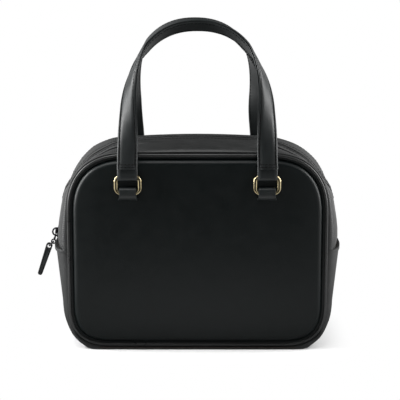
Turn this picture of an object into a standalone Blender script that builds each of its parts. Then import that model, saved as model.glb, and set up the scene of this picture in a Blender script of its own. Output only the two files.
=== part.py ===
# A small zipped leather handbag with two strap handles on metal rings.
# Lengths are in metres, +Z is up, the front faces -Y, and the bag stands on its
# flat base at the origin. The zip slider hangs at the left, -X.
#
# The front and back panels are rounded outlines that stand upright. The gusset
# bulges out between them. Above the gusset's bound edges the bag splits into a
# front and a back half of the mouth, which fold outward when the zip is open.
import math

import bmesh
import bpy
from mathutils import Matrix, Vector

# Panel outline, measured along the middle of the piping
PANEL_HALF_WIDTH = 0.1315
PANEL_BOTTOM = 0.0032
PANEL_TOP = 0.2034
PANEL_TAPER_SHARE = 0.015
TOP_CORNER_WIDTH = 0.060
TOP_CORNER_HEIGHT = 0.064
TOP_CORNER_SQUARENESS_SHARE = 2.5
BOTTOM_CORNER_WIDTH = 0.043
BOTTOM_CORNER_HEIGHT = 0.045
BOTTOM_CORNER_SQUARENESS_SHARE = 2.6

# Depth of the bag between the two piped seams
HALF_DEPTH = 0.052
PIPING_RADIUS = 0.0018
CLEARANCE = 0.0003

# Panel thickness: its back, the flat edge in the seam, its rolled edge and its crowned face
PANEL_BACK = 0.0015
PANEL_FLANGE = 0.0031
PANEL_SIDE_RISE = 0.0003
PANEL_ROLL = 0.0045
FACE_CROWN = 0.0009
FACE_CROWN_REACH = 0.022
FACE_CROWN_SHARES = ((0.45, 0.75), (1, 1))

# Heights where the bag changes: it folds open a little below the gusset's rim
RIM_HEIGHT = 0.104
FLEX_BELOW_RIM = 0.004
FLEX_HEIGHT = RIM_HEIGHT - FLEX_BELOW_RIM
FOOT_HEIGHT = 0.046
SHOULDER_HEIGHT = 0.165
CORNER_HEIGHT = 0.190

# How far the gusset bulges past the piping, at the middle of its depth
BASE_BULGE = 0.0044
FOOT_BULGE = 0.0095
RIM_BULGE = 0.017
OVER_RIM_BULGE = 0.0155
SHOULDER_BULGE = 0.0072
CORNER_BULGE = 0.0042
CROWN_BULGE = 0.0055
CROWN_RISE = 0.0055
CROWN_REACH = 0.095
GUSSET_FULLNESS_SHARE = 2.5

# Sheet thicknesses
GUSSET_LEATHER = 0.0016
STRIP_LEATHER = 0.0015
LINING = 0.0008
BINDING = 0.0015
BINDING_BELOW = 0.0022
BINDING_ABOVE = 0.0012

# Base board that lies on the lining
BOARD_THICKNESS = 0.0025
BOARD_INTO_CORNER = 0.0015
BOARD_SIDE_GAP = 0.0030
BOARD_CORNER = 0.012

# Zip
ZIP_LEATHER_GAP = 0.0042
TAPE_THICKNESS = 0.0006
TAPE_OUTER = 0.014
TAPE_INNER = 0.0009
COIL_RADIUS = 0.00095
COIL_SPACING = 0.0019
COIL_SINK = 0.00075
COIL_ABOVE_RIM = 0.0052
STOP_HEIGHT = 0.0022
STOP_THICKNESS = 0.0014
STOP_ABOVE_RIM = 0.0015
END_STOP_HALF_WIDTH = 0.0034

# Zip slider, in its own frame: along the zip, out from the bag, and across
SLIDER_ABOVE_RIM = 0.0085
SLIDER_TRAVEL = 0.040
SLIDER_LENGTH = 0.013
SLIDER_HALF_WIDTH = 0.0044
SLIDER_NARROW_SHARE = 0.72
SLIDER_TOP_LIFT = 0.0010
SLIDER_PLATE = 0.0014
SLIDER_LOW_PLATE = 0.0011
SLIDER_LOW_SINK = 0.0033
SLIDER_POST_HALF_WIDTH = 0.0006
SLIDER_POST_LENGTH = 0.0028
SLIDER_POST_INSET = 0.0006
BAIL_RADIUS = 0.0041
BAIL_WIRE = 0.00075
BAIL_LEG = 0.0012
BAIL_OFFSET = 0.0013

# Link on the bail, jump ring and leather pull
LINK_ANGLE = math.radians(80)
LINK_REACH = 0.0110
LINK_TOP_RADIUS = 0.0016
LINK_TOP_WIRE = 0.00055
LINK_EYE_RADIUS = 0.0019
LINK_EYE_WIRE = 0.0007
JUMP_RING_RADIUS = 0.00345
JUMP_RING_WIRE = 0.00055
JUMP_RING_ANGLE = math.radians(45)
PULL_LENGTH = 0.0375
PULL_WIDTH = 0.0064
PULL_TIP_WIDTH = 0.0050
PULL_THICKNESS = 0.0022
PULL_HOLE_RADIUS = 0.0012
PULL_HOLE_INSET = 0.0036
PULL_LEAN = math.radians(18)

# Rings
RING_SPREAD = 0.0685
RING_HEIGHT = 0.1748
RING_WIDTH = 0.028
RING_TALL = 0.0203
RING_CORNER = 0.0072
RING_INNER_CORNER = 0.0010
RING_BAND = 0.0020
RING_SIDE_BAND = 0.0039
RING_BAND_DEPTH = 0.0032
LOOP_EASE = 0.0003
BAR_STANDOFF = 0.0010

# Tabs that hold the rings
TAB_WIDTH = 0.0192
TAB_LEATHER = 0.0018
TAB_DROP = 0.0060
TAB_BACK_LEAF = 0.0030
TAB_TAIL = 0.013
SLOT_BEND = 0.0015

# Handles
STRAP_WIDTH = 0.020
STRAP_LEATHER = 0.0018
STRAP_EDGE = 0.0006
BACKING_WIDTH = 0.0188
BACKING_LEATHER = 0.0014
LOOP_WIDTH = 0.0182
LOOP_TAIL = 0.0065
LOOP_SLACK = 0.0013
HANDLE_ABOVE_RING = 0.0160
HANDLE_RISE = 0.1445
HANDLE_STRAIGHT = 0.057
HANDLE_INWARD = 0.0015
HANDLE_SQUARENESS_SHARE = 2.25
TWIST_START = 0.018
TWIST_LENGTH = 0.106
FRONT_LEAN = (math.radians(6), math.radians(28))
BACK_LEAN = (math.radians(5), math.radians(27))

# How far a cutter runs past what it cuts
OVERRUN = 0.0025

# Mesh fineness
BASE_STEPS = 3
BOTTOM_CORNER_STEPS = 7
SIDE_STEPS = 4
UPPER_SIDE_STEPS = 2
TOP_CORNER_STEPS = 8
TOP_STEPS = 3
ROLL_STEPS = 3
GUSSET_STEPS = 8
BINDING_STEPS = 16
STRIP_STEPS = 5
WIRE_SIDES = 8
SMALL_WIRE_SIDES = 6
RING_CORNER_STEPS = 4
TURN_STEPS = 16
LEG_STEPS = 9
ARCH_STEPS = 18
LOOP_STEPS = 6
PULL_END_STEPS = 4
SMOOTH_ANGLE = math.radians(38)

# Sizes that follow from the ones above
FACE_DEPTH = HALF_DEPTH + PANEL_SIDE_RISE + PANEL_ROLL + FACE_CROWN
PANEL_MIDDLE = Vector((0, (PANEL_TOP + PANEL_BOTTOM) / 2))
GUSSET_HALF = HALF_DEPTH - PIPING_RADIUS - CLEARANCE
LOOP_INSIDE = RING_BAND_DEPTH / 2 + LOOP_EASE + CLEARANCE
BAR_DEPTH = FACE_DEPTH + BAR_STANDOFF + TAB_LEATHER + LOOP_INSIDE
LOW_BAR_HEIGHT = RING_HEIGHT - RING_TALL / 2 + RING_BAND / 2
HIGH_BAR_HEIGHT = RING_HEIGHT + RING_TALL / 2 - RING_BAND / 2
TAIL_DEPTH = HALF_DEPTH - PANEL_BACK + TAB_LEATHER / 2
TAB_RADIUS = LOOP_INSIDE + TAB_LEATHER / 2
TAB_BEND_DEPTH = BAR_DEPTH + TAB_RADIUS - TAB_DROP
SLOT_HEIGHT = LOW_BAR_HEIGHT - TAB_DROP
LOOP_RADIUS = LOOP_INSIDE + BACKING_LEATHER / 2
HANDLE_FOOT = RING_HEIGHT + HANDLE_ABOVE_RING
HANDLE_DEPTH = BAR_DEPTH + LOOP_RADIUS + BACKING_LEATHER / 2 + CLEARANCE / 2
FRONT = -1
BACK = 1
SIDE_NAMES = {FRONT: "front", BACK: "back"}
HAND_NAMES = {-1: "left", 1: "right"}


def finish(name, colour, roughness, metallic):
    """A plain shader with the piece's colour and shine."""
    material = bpy.data.materials.new(name)
    material.use_nodes = True
    shader = material.node_tree.nodes["Principled BSDF"]
    shader.inputs["Base Color"].default_value = (*colour, 1)
    shader.inputs["Roughness"].default_value = roughness
    shader.inputs["Metallic"].default_value = metallic
    return material


# Mesh helpers

def spaced(first, last, count):
    """Evenly spaced values from first to last, with both ends."""
    return [first + (last - first) * step / count for step in range(count + 1)]


def arc(centre, radius, start, end, count):
    """Points on an arc in a flat frame, angles in degrees."""
    turns = [math.radians(turn) for turn in spaced(start, end, count)]
    return [(centre[0] + radius * math.cos(turn), centre[1] + radius * math.sin(turn)) for turn in turns]


def loft(rings, joined=False, hands=None):
    """A closed mesh through rings of points, with its ends filled or joined.

    A curved sheet gives the place of each section point across it, so that both of
    its faces are split along the same diagonals and it keeps its thickness.
    """
    bm = bmesh.new()
    loops = [[bm.verts.new(point) for point in ring] for ring in rings]
    pairs = list(zip(loops, loops[1:]))
    if joined:
        pairs.append((loops[-1], loops[0]))
    for low, high in pairs:
        for index in range(len(low)):
            after = (index + 1) % len(low)
            if hands is None:
                bm.faces.new((low[index], low[after], high[after], high[index]))
            elif hands[index] <= hands[after]:
                bm.faces.new((low[index], low[after], high[after]))
                bm.faces.new((low[index], high[after], high[index]))
            else:
                bm.faces.new((low[index], low[after], high[index]))
                bm.faces.new((low[after], high[after], high[index]))
    if not joined:
        bm.faces.new(loops[0])
        bm.faces.new(loops[-1])
    return bm


def cut_level(bm, height, keep_above):
    """Cuts the mesh at a height, keeps one part and closes the cut."""
    whole = bm.verts[:] + bm.edges[:] + bm.faces[:]
    bmesh.ops.bisect_plane(
        bm, geom=whole, plane_co=(0, 0, height), plane_no=(0, 0, 1),
        clear_inner=keep_above, clear_outer=not keep_above)
    bmesh.ops.holes_fill(bm, edges=[edge for edge in bm.edges if edge.is_boundary])


def add_piece(name, bm, material, axis=None):
    """Makes an object from a mesh in world coordinates, hung on its joint's empty."""
    bmesh.ops.recalc_face_normals(bm, faces=bm.faces)
    mesh = bpy.data.meshes.new(name)
    bm.to_mesh(mesh)
    bm.free()
    mesh.materials.append(material)
    mesh.shade_smooth()
    mesh.set_sharp_from_angle(angle=SMOOTH_ANGLE)
    piece = bpy.data.objects.new(name, mesh)
    bpy.context.collection.objects.link(piece)
    if axis is not None:
        piece.parent = axis
        piece.matrix_parent_inverse = axis.matrix_basis.inverted()
    return piece


def add_axis(name, place):
    """An empty on a joint's axis."""
    axis = bpy.data.objects.new(name, None)
    axis.location = place
    axis.empty_display_size = RING_TALL
    bpy.context.collection.objects.link(axis)
    return axis


def add_cutter(name, bm, target):
    """A guide solid that is cut out of a piece."""
    cutter = add_piece(name, bm, target.data.materials[0])
    cutter.hide_render = True
    cutter.display_type = "WIRE"
    cut = target.modifiers.new(name, "BOOLEAN")
    cut.operation = "DIFFERENCE"
    cut.solver = "EXACT"
    cut.object = cutter


def tube(points, radius, sides, flat_normal, joined=False):
    """A round wire along points that lie in one plane."""
    flat_normal = Vector(flat_normal)
    rings = []
    for index, point in enumerate(points):
        before = points[index - 1] if joined or index else point
        after = points[(index + 1) % len(points)] if joined or index < len(points) - 1 else point
        across = (Vector(after) - Vector(before)).normalized().cross(flat_normal)
        turns = [math.tau * (side + 1 / 2) / sides for side in range(sides)]
        rings.append([
            Vector(point) + (across * math.cos(turn) + flat_normal * math.sin(turn)) * radius
            for turn in turns])
    return loft(rings, joined)


def torus(centre, radius, wire, first, second, turn_steps=TURN_STEPS):
    """A round ring in the plane of two unit directions."""
    points = [
        centre + (first * math.cos(turn) + second * math.sin(turn)) * radius
        for turn in spaced(0, math.tau, turn_steps)[:-1]]
    return tube(points, wire, SMALL_WIRE_SIDES, first.cross(second), joined=True)


def ribbon(path, thickness, half_width, middle, side):
    """A strip bent along a path of (depth, height) points, as wide along X as given."""
    outer = []
    inner = []
    for index, point in enumerate(path):
        before = Vector(path[max(index - 1, 0)])
        after = Vector(path[min(index + 1, len(path) - 1)])
        along = (after - before).normalized()
        across = Vector((along.y, -along.x)) * thickness / 2
        outer.append(Vector(point) + across)
        inner.append(Vector(point) - across)
    outline = outer + inner[::-1]
    ends = (middle - half_width, middle + half_width)
    return loft([[(x, side * flat.x, flat.y) for flat in outline] for x in ends])


# The panel outline and the gusset that follows it

def corner(share, width, height, squareness):
    """A point of a squarish corner, from its flat start to its upright end."""
    turn = share * math.pi / 2
    return (
        width * math.sin(turn) ** (2 / squareness),
        height * (1 - math.cos(turn) ** (2 / squareness)))


def tapered(points):
    """The outline leans in a little towards the top."""
    height = PANEL_TOP - PANEL_BOTTOM
    return [
        (x * (1 + PANEL_TAPER_SHARE * (PANEL_MIDDLE.y - z) / height), z) for x, z in points]


def lower_run(end_height):
    """Right half of the outline, from the middle of the base up to a height."""
    start = PANEL_HALF_WIDTH - BOTTOM_CORNER_WIDTH
    points = [(x, PANEL_BOTTOM) for x in spaced(0, start, BASE_STEPS)]
    for share in spaced(0, 1, BOTTOM_CORNER_STEPS)[1:]:
        across, up = corner(
            share, BOTTOM_CORNER_WIDTH, BOTTOM_CORNER_HEIGHT, BOTTOM_CORNER_SQUARENESS_SHARE)
        points.append((start + across, PANEL_BOTTOM + up))
    corner_end = PANEL_BOTTOM + BOTTOM_CORNER_HEIGHT
    points += [(PANEL_HALF_WIDTH, z) for z in spaced(corner_end, end_height, SIDE_STEPS)[1:]]
    return tapered(points)


def upper_run(start_height):
    """Right half of the outline, from a height up to the middle of the top."""
    corner_start = PANEL_TOP - TOP_CORNER_HEIGHT
    points = [(PANEL_HALF_WIDTH, z) for z in spaced(start_height, corner_start, UPPER_SIDE_STEPS)]
    start = PANEL_HALF_WIDTH - TOP_CORNER_WIDTH
    for share in spaced(1, 0, TOP_CORNER_STEPS)[1:]:
        across, down = corner(
            share, TOP_CORNER_WIDTH, TOP_CORNER_HEIGHT, TOP_CORNER_SQUARENESS_SHARE)
        points.append((start + across, PANEL_TOP - down))
    points += [(x, PANEL_TOP) for x in spaced(start, 0, TOP_STEPS)[1:]]
    return tapered(points)


def mirrored(points):
    """The same run on the left, in the opposite order."""
    return [(-x, z) for x, z in reversed(points)]


def with_normals(points, closed=False):
    """Pairs of outline points and their outward directions."""
    pairs = []
    last = len(points) - 1
    for index, point in enumerate(points):
        before = points[index - 1] if closed or index else point
        after = points[(index + 1) % len(points)] if closed or index < last else point
        along = Vector(after) - Vector(before)
        normal = Vector((along.y, -along.x)).normalized()
        if normal.dot(Vector(point) - PANEL_MIDDLE) < 0:
            normal.negate()
        pairs.append((Vector(point), normal))
    return pairs


def lower_path(end_height):
    """The outline from the left side, under the base and up the right side."""
    run = lower_run(end_height)
    return with_normals(mirrored(run)[:-1] + run)


def upper_path(start_height):
    """The outline from the right side, over the top and down the left side."""
    run = upper_run(start_height)
    return with_normals(run + mirrored(run)[1:])


def whole_outline():
    """The closed outline of a panel."""
    low = lower_run(FLEX_HEIGHT)
    high = upper_run(FLEX_HEIGHT)
    return with_normals(mirrored(low)[:-1] + low + high[1:] + mirrored(high)[1:-1], closed=True)


def between(height, stations):
    """A value read off a list of (height, value) stations."""
    for (low, first), (high, last) in zip(stations, stations[1:]):
        if height <= high:
            return first + (last - first) * max(height - low, 0) / (high - low)
    return stations[-1][1]


def lower_bulge(height):
    """Bulge of the lower gusset at an outline height."""
    return between(height, (
        (PANEL_BOTTOM, BASE_BULGE), (FOOT_HEIGHT, FOOT_BULGE), (RIM_HEIGHT, RIM_BULGE)))


def upper_bulge(point):
    """Bulge of the zip strips at an outline point; they rise to a crown at the top."""
    crown = CROWN_RISE * max(1 - (point.x / CROWN_REACH) ** 2, 0)
    return crown + between(point.y, (
        (RIM_HEIGHT, OVER_RIM_BULGE), (SHOULDER_HEIGHT, SHOULDER_BULGE),
        (CORNER_HEIGHT, CORNER_BULGE), (PANEL_TOP, CROWN_BULGE)))


def out_from(point, normal, out, depth, floor=None):
    """A point of the bag's skin, a distance out from the outline."""
    place = point + normal * out
    height = place.y if floor is None else max(place.y, floor)
    return Vector((place.x, depth, height))


def full_curve(depth, half_depth, bulge):
    """How far the gusset stands out at a depth."""
    share = min(abs(depth) / half_depth, 1)
    return bulge * (1 - share ** GUSSET_FULLNESS_SHARE) ** (1 / GUSSET_FULLNESS_SHARE)


def curve_depths(half_depth, first_turn, last_turn, count):
    """Depths spaced closer where the gusset curves more, turns in degrees."""
    return [
        half_depth * math.copysign(abs(math.sin(math.radians(turn))), turn)
        for turn in spaced(first_turn, last_turn, count)]


def gusset_wall(sunk, thickness, floor):
    """The channel of the lower gusset, or of a sheet that lies inside it."""
    rings = []
    for point, normal in lower_path(RIM_HEIGHT):
        bulge = lower_bulge(point.y)
        ring = []
        for inset, level, order in ((sunk, floor, 1), (sunk + thickness, floor + thickness, -1)):
            half = GUSSET_HALF - inset
            depths = curve_depths(half, -90, 90, GUSSET_STEPS)[::order]
            ring += [
                out_from(point, normal, full_curve(depth, half, bulge - inset), depth, level)
                for depth in depths]
        rings.append(ring)
    return loft(rings, hands=[place.y for place in rings[0]])


# Pieces of the panels

def panel_block():
    """A whole panel as a stack of inset outlines, in front of its seam."""
    outline = whole_outline()
    first_inset = PIPING_RADIUS + CLEARANCE
    roll_inset = first_inset + PANEL_FLANGE
    profile = [(first_inset, -PANEL_BACK), (first_inset, PANEL_SIDE_RISE)]
    for turn in spaced(0, math.pi / 2, ROLL_STEPS):
        inset = roll_inset + PANEL_ROLL * (1 - math.cos(turn))
        profile.append((inset, PANEL_SIDE_RISE + PANEL_ROLL * math.sin(turn)))
    edge_inset, edge_rise = profile[-1]
    for reach_share, crown_share in FACE_CROWN_SHARES:
        profile.append((
            edge_inset + (FACE_CROWN_REACH - edge_inset) * reach_share,
            edge_rise + FACE_CROWN * crown_share))
    return [
        [out_from(point, normal, -inset, HALF_DEPTH + rise) for point, normal in outline]
        for inset, rise in profile]


def on_side(rings, side):
    """The rings of a front or a back piece."""
    return [[Vector((point.x, side * point.y, point.z)) for point in ring] for ring in rings]


def add_halves(name, rings, side, material, mouth, joined=False):
    """A piece that is split at the flex line into a fixed and a folding half."""
    pieces = []
    for half, keep_above, axis in (("lower", False, None), ("upper", True, mouth)):
        bm = loft(on_side(rings, side), joined)
        gap = CLEARANCE / 2 if keep_above else -CLEARANCE / 2
        cut_level(bm, FLEX_HEIGHT + gap, keep_above)
        pieces.append(add_piece(f"{SIDE_NAMES[side]}_{name}_{half}", bm, material, axis))
    return pieces


def piping_rings():
    """The rings of the round piping along the outline."""
    rings = []
    for point, normal in whole_outline():
        turns = [math.tau * (step + 1 / 2) / SMALL_WIRE_SIDES for step in range(SMALL_WIRE_SIDES)]
        rings.append([
            out_from(
                point, normal, PIPING_RADIUS * math.cos(turn),
                HALF_DEPTH + PIPING_RADIUS * math.sin(turn))
            for turn in turns])
    return rings


def lining_rings():
    """The rings of the lining sheet behind a panel."""
    face = HALF_DEPTH - PANEL_BACK - CLEARANCE
    inset = PIPING_RADIUS + CLEARANCE + LINING
    return [
        [out_from(point, normal, -inset, depth) for point, normal in whole_outline()]
        for depth in (face - LINING, face)]


def add_panel(side, mouth, leather, cloth):
    """Panel, piping and lining of one side, with the slots for its tabs."""
    upper = add_halves("panel", panel_block(), side, leather, mouth)[1]
    add_halves("piping", piping_rings(), side, leather, mouth, joined=True)
    add_halves("lining", lining_rings(), side, cloth, mouth)
    for hand in HAND_NAMES:
        slot = ribbon(
            tab_tail_path(OVERRUN), TAB_LEATHER + 2 * CLEARANCE, TAB_WIDTH / 2 + CLEARANCE,
            hand * RING_SPREAD, side)
        add_cutter(f"{SIDE_NAMES[side]}_{HAND_NAMES[hand]}_slot", slot, upper)


# Tabs and rings

def tab_tail_path(overrun=0):
    """The part of a tab behind the panel and through its slot."""
    path = [(TAIL_DEPTH, SLOT_HEIGHT - TAB_TAIL - (CLEARANCE if overrun else 0))]
    path += arc(
        (TAIL_DEPTH + SLOT_BEND, SLOT_HEIGHT - SLOT_BEND), SLOT_BEND, 180, 90, LOOP_STEPS)
    path.append((TAB_BEND_DEPTH + overrun, SLOT_HEIGHT))
    return path


def add_tab(side, hand, mouth, leather):
    """A leather tab that comes out of its slot and loops over the ring's lower bar."""
    path = tab_tail_path()[:-1]
    path += arc((TAB_BEND_DEPTH, LOW_BAR_HEIGHT), TAB_DROP, -90, 0, LOOP_STEPS)
    path += arc((BAR_DEPTH, LOW_BAR_HEIGHT), TAB_RADIUS, 0, 180, LOOP_STEPS)[1:]
    path.append((BAR_DEPTH - TAB_RADIUS, LOW_BAR_HEIGHT - TAB_BACK_LEAF))
    tab = ribbon(path, TAB_LEATHER, TAB_WIDTH / 2, hand * RING_SPREAD, side)
    add_piece(f"{SIDE_NAMES[side]}_{HAND_NAMES[hand]}_tab", tab, leather, mouth)


def rounded_outline(half_width, half_height, radius):
    """Corners of a rounded rectangle round the ring's middle."""
    points = []
    for start, x_sign, z_sign in ((0, 1, 1), (90, -1, 1), (180, -1, -1), (270, 1, -1)):
        centre = (x_sign * (half_width - radius), z_sign * (half_height - radius))
        points += arc(centre, radius, start, start + 90, RING_CORNER_STEPS)
    return points


def add_ring(side, hand, axis, gold):
    """A flat metal ring, wider at its sides, that stands in its tab."""
    outer = rounded_outline(RING_WIDTH / 2, RING_TALL / 2, RING_CORNER)
    inner = rounded_outline(
        RING_WIDTH / 2 - RING_SIDE_BAND, RING_TALL / 2 - RING_BAND, RING_INNER_CORNER)
    half = RING_BAND_DEPTH / 2
    rings = []
    for outline, depth in ((outer, -half), (outer, half), (inner, half), (inner, -half)):
        rings.append([
            (hand * RING_SPREAD + x, side * BAR_DEPTH + depth, RING_HEIGHT + z) for x, z in outline])
    add_piece(
        f"{SIDE_NAMES[side]}_{HAND_NAMES[hand]}_ring", loft(rings, joined=True), gold, axis)


# Handles

def handle_frames(side, lean):
    """Places, face directions and widths' directions along a handle, left foot to right."""
    low, high = lean
    radius = HANDLE_RISE / (high - low)
    arch = HANDLE_RISE - HANDLE_STRAIGHT
    spread = RING_SPREAD - HANDLE_INWARD
    half = [
        (RING_SPREAD - HANDLE_INWARD * rise / HANDLE_STRAIGHT, rise)
        for rise in spaced(0, HANDLE_STRAIGHT, LEG_STEPS)]
    for share in spaced(0, 1, ARCH_STEPS)[1:]:
        turn = share * math.pi / 2
        power = 2 / HANDLE_SQUARENESS_SHARE
        half.append((
            spread * math.cos(turn) ** power,
            HANDLE_STRAIGHT + arch * math.sin(turn) ** power))
    half[-1] = (0, HANDLE_RISE)
    flat = [(-x, rise) for x, rise in half] + half[-2::-1]
    places = []
    fronts = []
    for x, rise in flat:
        angle = low + rise / radius
        depth = HANDLE_DEPTH - radius * (math.cos(low) - math.cos(angle))
        height = HANDLE_FOOT + radius * (math.sin(angle) - math.sin(low))
        places.append(Vector((x, side * depth, height)))
        fronts.append(Vector((0, side * math.cos(angle), math.sin(angle))))
    lengths = [0]
    for first, second in zip(places, places[1:]):
        lengths.append(lengths[-1] + (second - first).length)
    faces = []
    for index, place in enumerate(places):
        along = (places[min(index + 1, len(places) - 1)] - places[max(index - 1, 0)]).normalized()
        front = (fronts[index] - along * fronts[index].dot(along)).normalized()
        outward = front.cross(along) * -side
        run = min(lengths[index], lengths[-1] - lengths[index])
        twist = math.pi / 2 * min(max((run - TWIST_START) / TWIST_LENGTH, 0), 1)
        faces.append(front * math.cos(twist) + outward * math.sin(twist))
    return places, faces


def sweep(places, faces, widths, profile):
    """A strip along places, its section given as (share of half width, inset, out)."""
    rings = []
    for index, place in enumerate(places):
        along = (places[min(index + 1, len(places) - 1)] - places[max(index - 1, 0)]).normalized()
        across = along.cross(faces[index]).normalized()
        face = across.cross(along)
        half = widths[index] / 2
        rings.append([
            place + across * hand * (half - inset) + face * out for hand, inset, out in profile])
    return loft(rings, hands=[hand for hand, inset, out in profile])


def add_handle(side, lean, axis, leather):
    """Outer strap and backing; the backing's ends loop round the rings' upper bars."""
    places, faces = handle_frames(side, lean)
    low = CLEARANCE / 2
    high = low + STRAP_LEATHER
    strap_profile = (
        (-1, 0, low), (0, 0, low), (1, 0, low), (1, 0, high - STRAP_EDGE),
        (1, STRAP_EDGE, high), (0, 0, high), (-1, STRAP_EDGE, high), (-1, 0, high - STRAP_EDGE))
    strap = sweep(places, faces, [STRAP_WIDTH] * len(places), strap_profile)
    add_piece(f"{SIDE_NAMES[side]}_handle_strap", strap, leather, axis)

    middle = BACKING_LEATHER / 2 + CLEARANCE / 2
    backing = [place - face * middle for place, face in zip(places, faces)]
    loop = [(BAR_DEPTH - LOOP_RADIUS, HIGH_BAR_HEIGHT + LOOP_TAIL)]
    loop += arc((BAR_DEPTH, HIGH_BAR_HEIGHT - LOOP_SLACK), LOOP_RADIUS, 180, 360, LOOP_STEPS)
    loop_faces = [(-1, 0)] + arc((0, 0), 1, 180, 360, LOOP_STEPS)
    left = [Vector((-RING_SPREAD, side * depth, height)) for depth, height in loop]
    left_faces = [Vector((0, side * depth, height)) for depth, height in loop_faces]
    right = [Vector((RING_SPREAD, place.y, place.z)) for place in left[::-1]]
    all_places = left + backing + right
    all_faces = left_faces + faces + left_faces[::-1]
    loop_widths = [LOOP_WIDTH] * len(left)
    widths = loop_widths + [BACKING_WIDTH] * len(places) + loop_widths
    half = BACKING_LEATHER / 2
    backing_profile = (
        (-1, 0, -half), (0, 0, -half), (1, 0, -half), (1, 0, half), (0, 0, half), (-1, 0, half))
    bm = sweep(all_places, all_faces, widths, backing_profile)
    add_piece(f"{SIDE_NAMES[side]}_handle_backing", bm, leather, axis)


# Gusset, bindings and base

def add_binding(hand, leather):
    """The turned upper edge of the lower gusset on one side."""
    foot_out = PIPING_RADIUS + CLEARANCE
    path = [pair for pair in lower_path(RIM_HEIGHT) if pair[0].x * hand > 0]
    point, normal = max(path, key=lambda pair: pair[0].y)
    rings = []
    for height in (RIM_HEIGHT - BINDING_BELOW, RIM_HEIGHT + BINDING_ABOVE):
        place = Vector((point.x, height))
        ring = []
        for lift, order in ((CLEARANCE, 1), (CLEARANCE + BINDING, -1)):
            half = GUSSET_HALF + lift
            rise = RIM_BULGE + lift
            power = GUSSET_FULLNESS_SHARE
            foot = half * (1 - (foot_out / rise) ** power) ** (1 / power)
            limit = math.degrees(math.asin(foot / half))
            depths = curve_depths(half, -limit, limit, BINDING_STEPS)[::order]
            ring += [
                out_from(place, normal, full_curve(depth, half, rise), depth) for depth in depths]
        rings.append(ring)
    add_piece(f"{HAND_NAMES[hand]}_gusset_binding", loft(rings), leather)


def add_base_board(card):
    """A stiff board with rounded corners that lies on the lining."""
    bottom = GUSSET_LEATHER + CLEARANCE + LINING + CLEARANCE
    half_width = GUSSET_HALF - bottom - BOARD_SIDE_GAP
    half_length = PANEL_HALF_WIDTH - BOTTOM_CORNER_WIDTH + BOARD_INTO_CORNER
    corner_x = half_length - BOARD_CORNER
    corner_y = half_width - BOARD_CORNER
    outline = []
    for start, x_sign, y_sign in ((0, 1, 1), (90, -1, 1), (180, -1, -1), (270, 1, -1)):
        outline += arc(
            (x_sign * corner_x, y_sign * corner_y), BOARD_CORNER, start, start + 90, ROLL_STEPS)
    levels = (bottom, bottom + BOARD_THICKNESS)
    add_piece("base_board", loft([[(x, y, z) for x, y in outline] for z in levels]), card)


def add_gusset(leather, cloth):
    """The lower gusset with its lining, its bindings and the board."""
    add_piece("lower_gusset", gusset_wall(0, GUSSET_LEATHER, 0), leather)
    sunk = GUSSET_LEATHER + CLEARANCE
    add_piece("gusset_lining", gusset_wall(sunk, LINING, sunk), cloth)
    for hand in HAND_NAMES:
        add_binding(hand, leather)


# Zip strips, tapes, coils and stops

def strip_sheet(side, sunk, thickness, first_depth, last_depth):
    """A sheet of one half of the zip gusset between two depths from the middle."""
    rings = []
    for point, normal in upper_path(RIM_HEIGHT + CLEARANCE):
        bulge = upper_bulge(point)
        ring = []
        for inset, order in ((sunk, 1), (sunk + thickness, -1)):
            half = GUSSET_HALF - inset
            first_turn = math.degrees(math.asin(min(first_depth / half, 1)))
            last_turn = math.degrees(math.asin(min(last_depth / half, 1)))
            depths = curve_depths(half, first_turn, last_turn, STRIP_STEPS)[::order]
            ring += [
                out_from(point, normal, full_curve(depth, half, bulge - inset), side * depth)
                for depth in depths]
        rings.append(ring)
    return loft(rings, hands=[place.y for place in rings[0]])


def add_zip_side(side, mouth, leather, tape, nylon):
    """Leather strip, tape and coil on one side of the zip."""
    strip = strip_sheet(side, 0, STRIP_LEATHER, ZIP_LEATHER_GAP, GUSSET_HALF)
    add_piece(f"{SIDE_NAMES[side]}_zip_strip", strip, leather, mouth)
    under = STRIP_LEATHER + CLEARANCE
    band = strip_sheet(side, under, TAPE_THICKNESS, TAPE_INNER, TAPE_OUTER)
    add_piece(f"{SIDE_NAMES[side]}_zip_tape", band, tape, mouth)
    points = []
    for point, normal in upper_path(RIM_HEIGHT + COIL_ABOVE_RIM):
        out = upper_bulge(point) - COIL_SINK
        points.append(out_from(point, normal, out, side * COIL_SPACING))
    coil = tube(points, COIL_RADIUS, SMALL_WIRE_SIDES, (0, 1, 0))
    add_piece(f"{SIDE_NAMES[side]}_zip_coil", coil, nylon, mouth)


def skin_at(hand, height):
    """The point and outward direction of the zip's path at a height on one side."""
    point, normal = upper_path(height)[0]
    place = point + normal * upper_bulge(point)
    return Vector((hand * place.x, 0, place.y)), Vector((hand * normal.x, 0, normal.y))


def add_stop(name, hand, near, far, metal):
    """A small metal clamp on the zip, between two depths."""
    outer, normal = skin_at(hand, RIM_HEIGHT + STOP_ABOVE_RIM)
    upward = normal.cross(Vector((0, hand, 0)))
    low = -STRIP_LEATHER
    high = low + STOP_THICKNESS
    rings = []
    for rise in (0, STOP_HEIGHT):
        corners = ((near, low), (far, low), (far, high), (near, high))
        rings.append([
            outer + upward * rise + normal * out + Vector((0, depth, 0)) for depth, out in corners])
    add_piece(name, loft(rings), metal)


# Slider, link and pull

def slider_frame():
    """Middle of the slider on the bag's skin, with its upward and outward directions."""
    height = RIM_HEIGHT + SLIDER_ABOVE_RIM
    low = skin_at(-1, height)[0]
    high = skin_at(-1, height + SLIDER_TRAVEL)[0]
    upward = (high - low).normalized()
    outward = Vector((0, 1, 0)).cross(upward)
    if outward.x > 0:
        outward.negate()
    return low, upward, outward


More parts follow.
